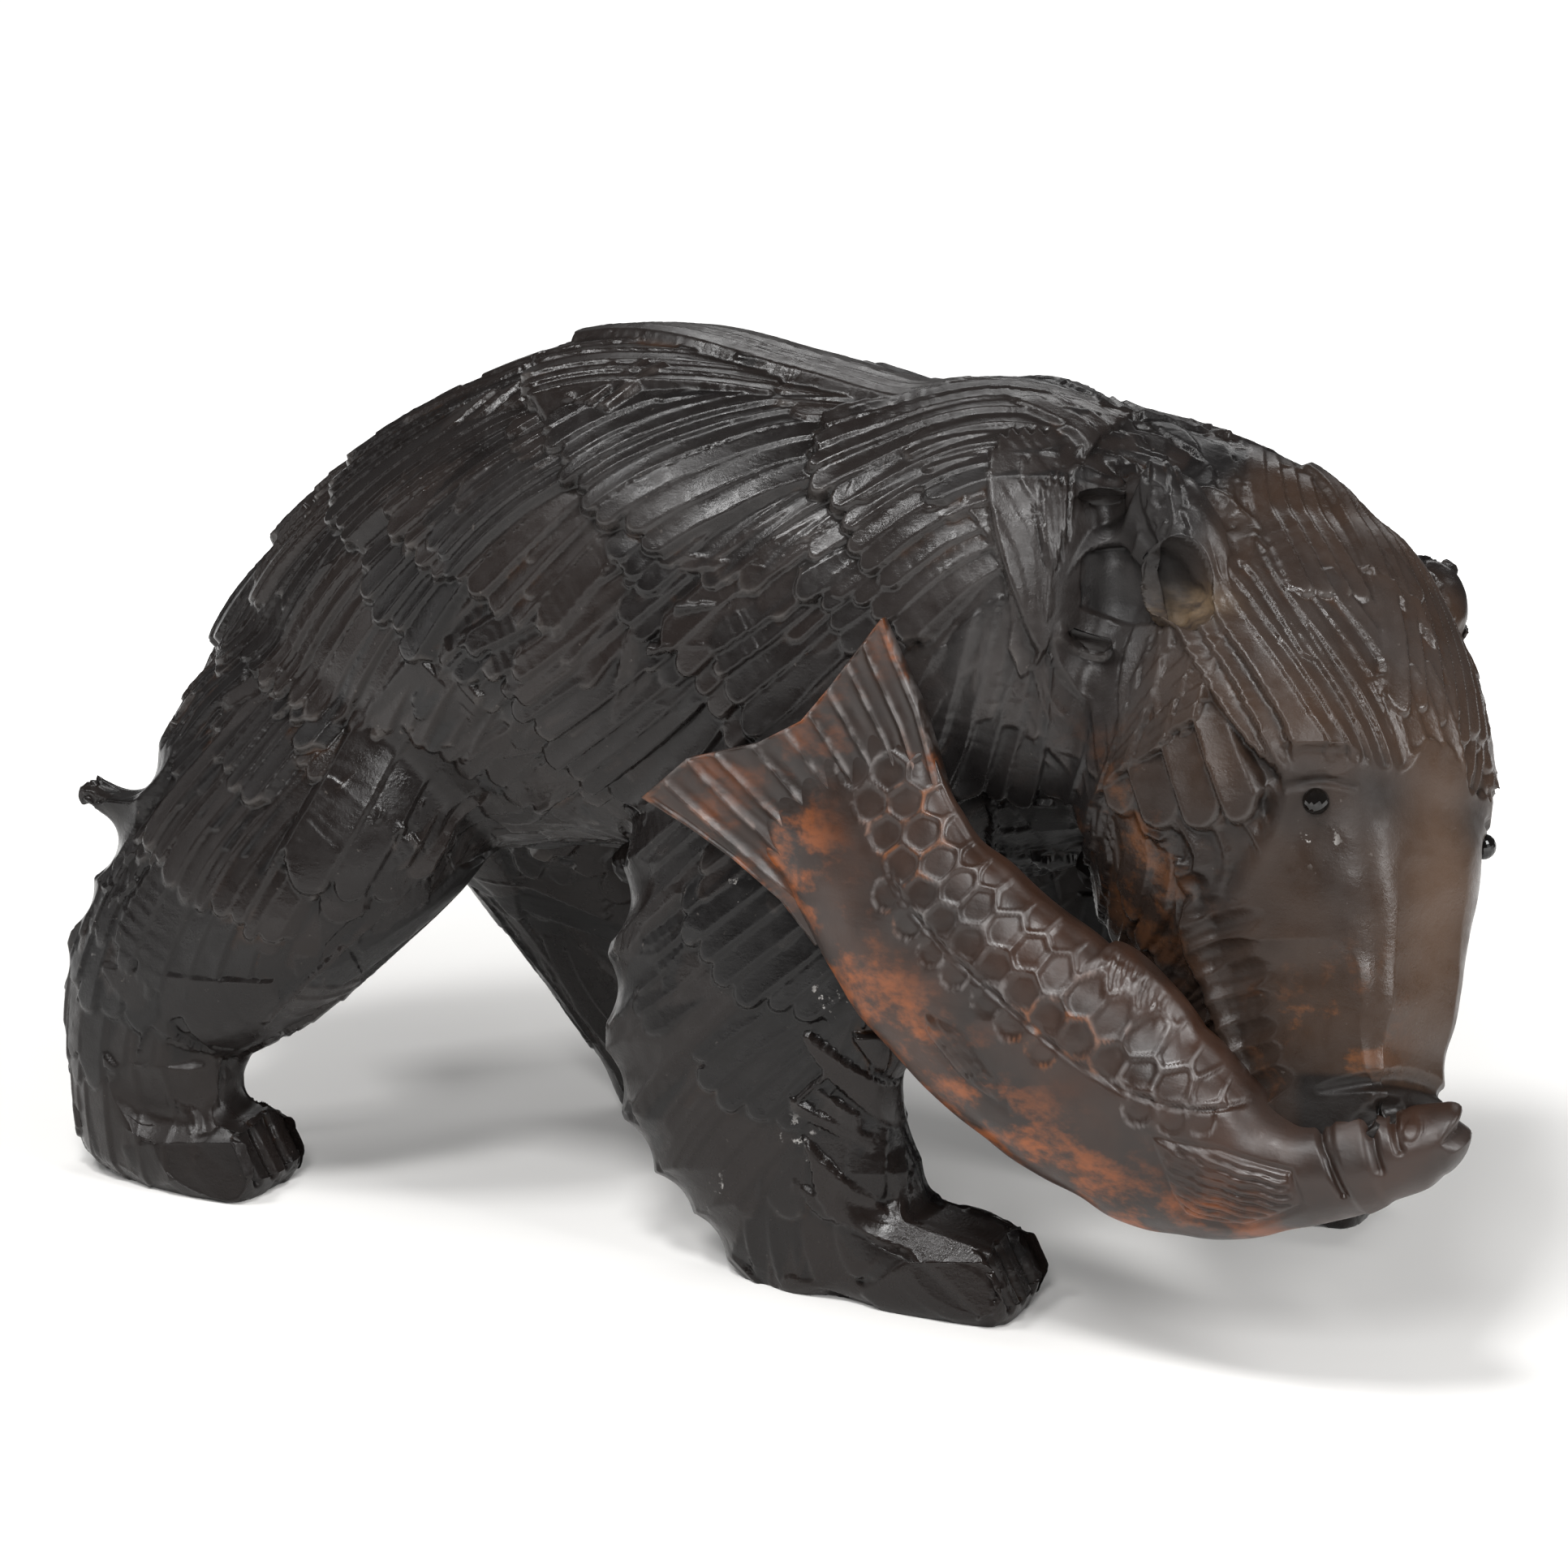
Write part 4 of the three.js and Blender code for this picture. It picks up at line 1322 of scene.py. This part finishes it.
def glowing_floor():
    """Pale card that glows, faintly near the object and as bright white away from it."""
    n = Nodes("glowing_floor")
    gap = n.new("ShaderNodeVectorMath", operation="LENGTH")
    n.link(n.new("ShaderNodeTexCoord").outputs["Object"], gap.inputs[0])
    return n.set(
        Base_Color=n.mix(n.noise(5, 3), (0.83, 0.82, 0.80), (0.87, 0.86, 0.845)),
        Roughness=0.9,
        Specular_IOR_Level=0.1,
        # the card's own glow: painted light, faint near the bear and full white away from it
        Emission_Color=(1, 1, 1, 1),
        Emission_Strength=n.ramp(gap.outputs["Value"], 0.12, 0.75, 0.05, 1.0),
    )


# ---------------------------------------------------------------- the studio
# (name, place from the middle of the bear in metres, size, watts)
LIGHTS = [
    ("key", (-0.462, -0.506, 0.99), (0.26, 0.22), 5),
    ("front_high", (0.10, -0.55, 0.95), (0.2, 0.2), 6),
    ("right_box", (0.85, -0.20, 0.50), (0.25, 0.5), 5.5),
    ("front_box", (0.325, -0.936, 0.676), (0.24, 0.24), 4.5),
    ("back_box", (-0.165, 0.825, 0.825), (0.9, 0.3), 3),
    ("left_box", (-0.8246, -0.364, 0.35), (0.3, 0.5), 0.6),
]
LOOK_AT = (0, 14, 95)  # the point in the middle of the picture, in the carver's frame
CAMERA_AZIMUTH, CAMERA_ELEVATION = math.radians(27), math.radians(14)
CAMERA_DISTANCE = 0.9
CAMERA_LENS, SENSOR = 90.559, 36.0
ROOM_LIGHT = 0.10  # how strongly the white room lights the bear. The camera sees it at full strength.


def stand(name, data, at, aim):
    """Puts a light or a camera at a place, looking at another."""
    piece = bpy.data.objects.new(name, data)
    piece.location = at
    piece.rotation_euler = Vector(np.array(aim) - at).to_track_quat("-Z", "Y").to_euler()
    bpy.context.scene.collection.objects.link(piece)
    return piece


def camera(target):
    """The photograph's view of the target."""
    around, up = CAMERA_AZIMUTH, CAMERA_ELEVATION
    back = np.array([math.sin(around) * math.cos(up), -math.cos(around) * math.cos(up), math.sin(up)])
    data = bpy.data.cameras.new("camera")
    data.lens, data.sensor_width = CAMERA_LENS, SENSOR
    data.clip_start, data.clip_end = 0.01, 50
    bpy.context.scene.camera = stand("camera", data, target + back * CAMERA_DISTANCE, target)


def lights(middle):
    for name, place, size, watts in LIGHTS:
        data = bpy.data.lights.new(name, "AREA")
        data.shape = "RECTANGLE"
        data.size, data.size_y = size
        data.energy = watts
        stand(name, data, middle + np.array(place), middle)


def white_room():
    """A world that is bright to the camera and dim as a light."""
    world = bpy.data.worlds.new("room")
    world.use_nodes = True
    nodes, links = world.node_tree.nodes, world.node_tree.links
    room = nodes["Background"]
    room.inputs["Color"].default_value = (1, 1, 1, 1)
    strength = nodes.new("ShaderNodeMapRange")
    strength.inputs["To Min"].default_value = ROOM_LIGHT
    strength.inputs["To Max"].default_value = 1.0
    links.new(nodes.new("ShaderNodeLightPath").outputs["Is Camera Ray"], strength.inputs["Value"])
    links.new(strength.outputs["Result"], room.inputs["Strength"])
    bpy.context.scene.world = world


def floor(reach=8):
    sheet = bpy.data.meshes.new("floor")
    corners = [(-reach, -reach, 0), (reach, -reach, 0), (reach, reach, 0), (-reach, reach, 0)]
    sheet.from_pydata(corners, [], [(0, 1, 2, 3)])
    sheet.materials.append(glowing_floor())
    card = bpy.data.objects.new("floor", sheet)
    bpy.context.scene.collection.objects.link(card)


def studio():
    target = (np.array(LOOK_AT) + ORIGIN) * METRES
    camera(target)
    lights(target * (1, 1, 0.8))
    white_room()
    floor()
    bpy.context.scene.view_settings.view_transform = "Standard"


# ---------------------------------------------------------------- putting it together
studio()
wood = stained_wood()
bear = make_bear()
bear.data.materials.append(wood)
salmon, tail = make_salmon(), make_tail()
fish_wood = salmon_wood()
for piece in (salmon, tail):
    piece.data.materials.append(fish_wood)
for piece in (bear, salmon, tail):
    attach(piece, "root")
    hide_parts("carved_block")
for part, look in (("bead", black_glass()), ("stem", wire())):
    for side in ("left", "right"):
        eye_part = bpy.data.objects[f"{side}_eye_{part}"].data
        eye_part.materials.clear()
        eye_part.materials.append(look)
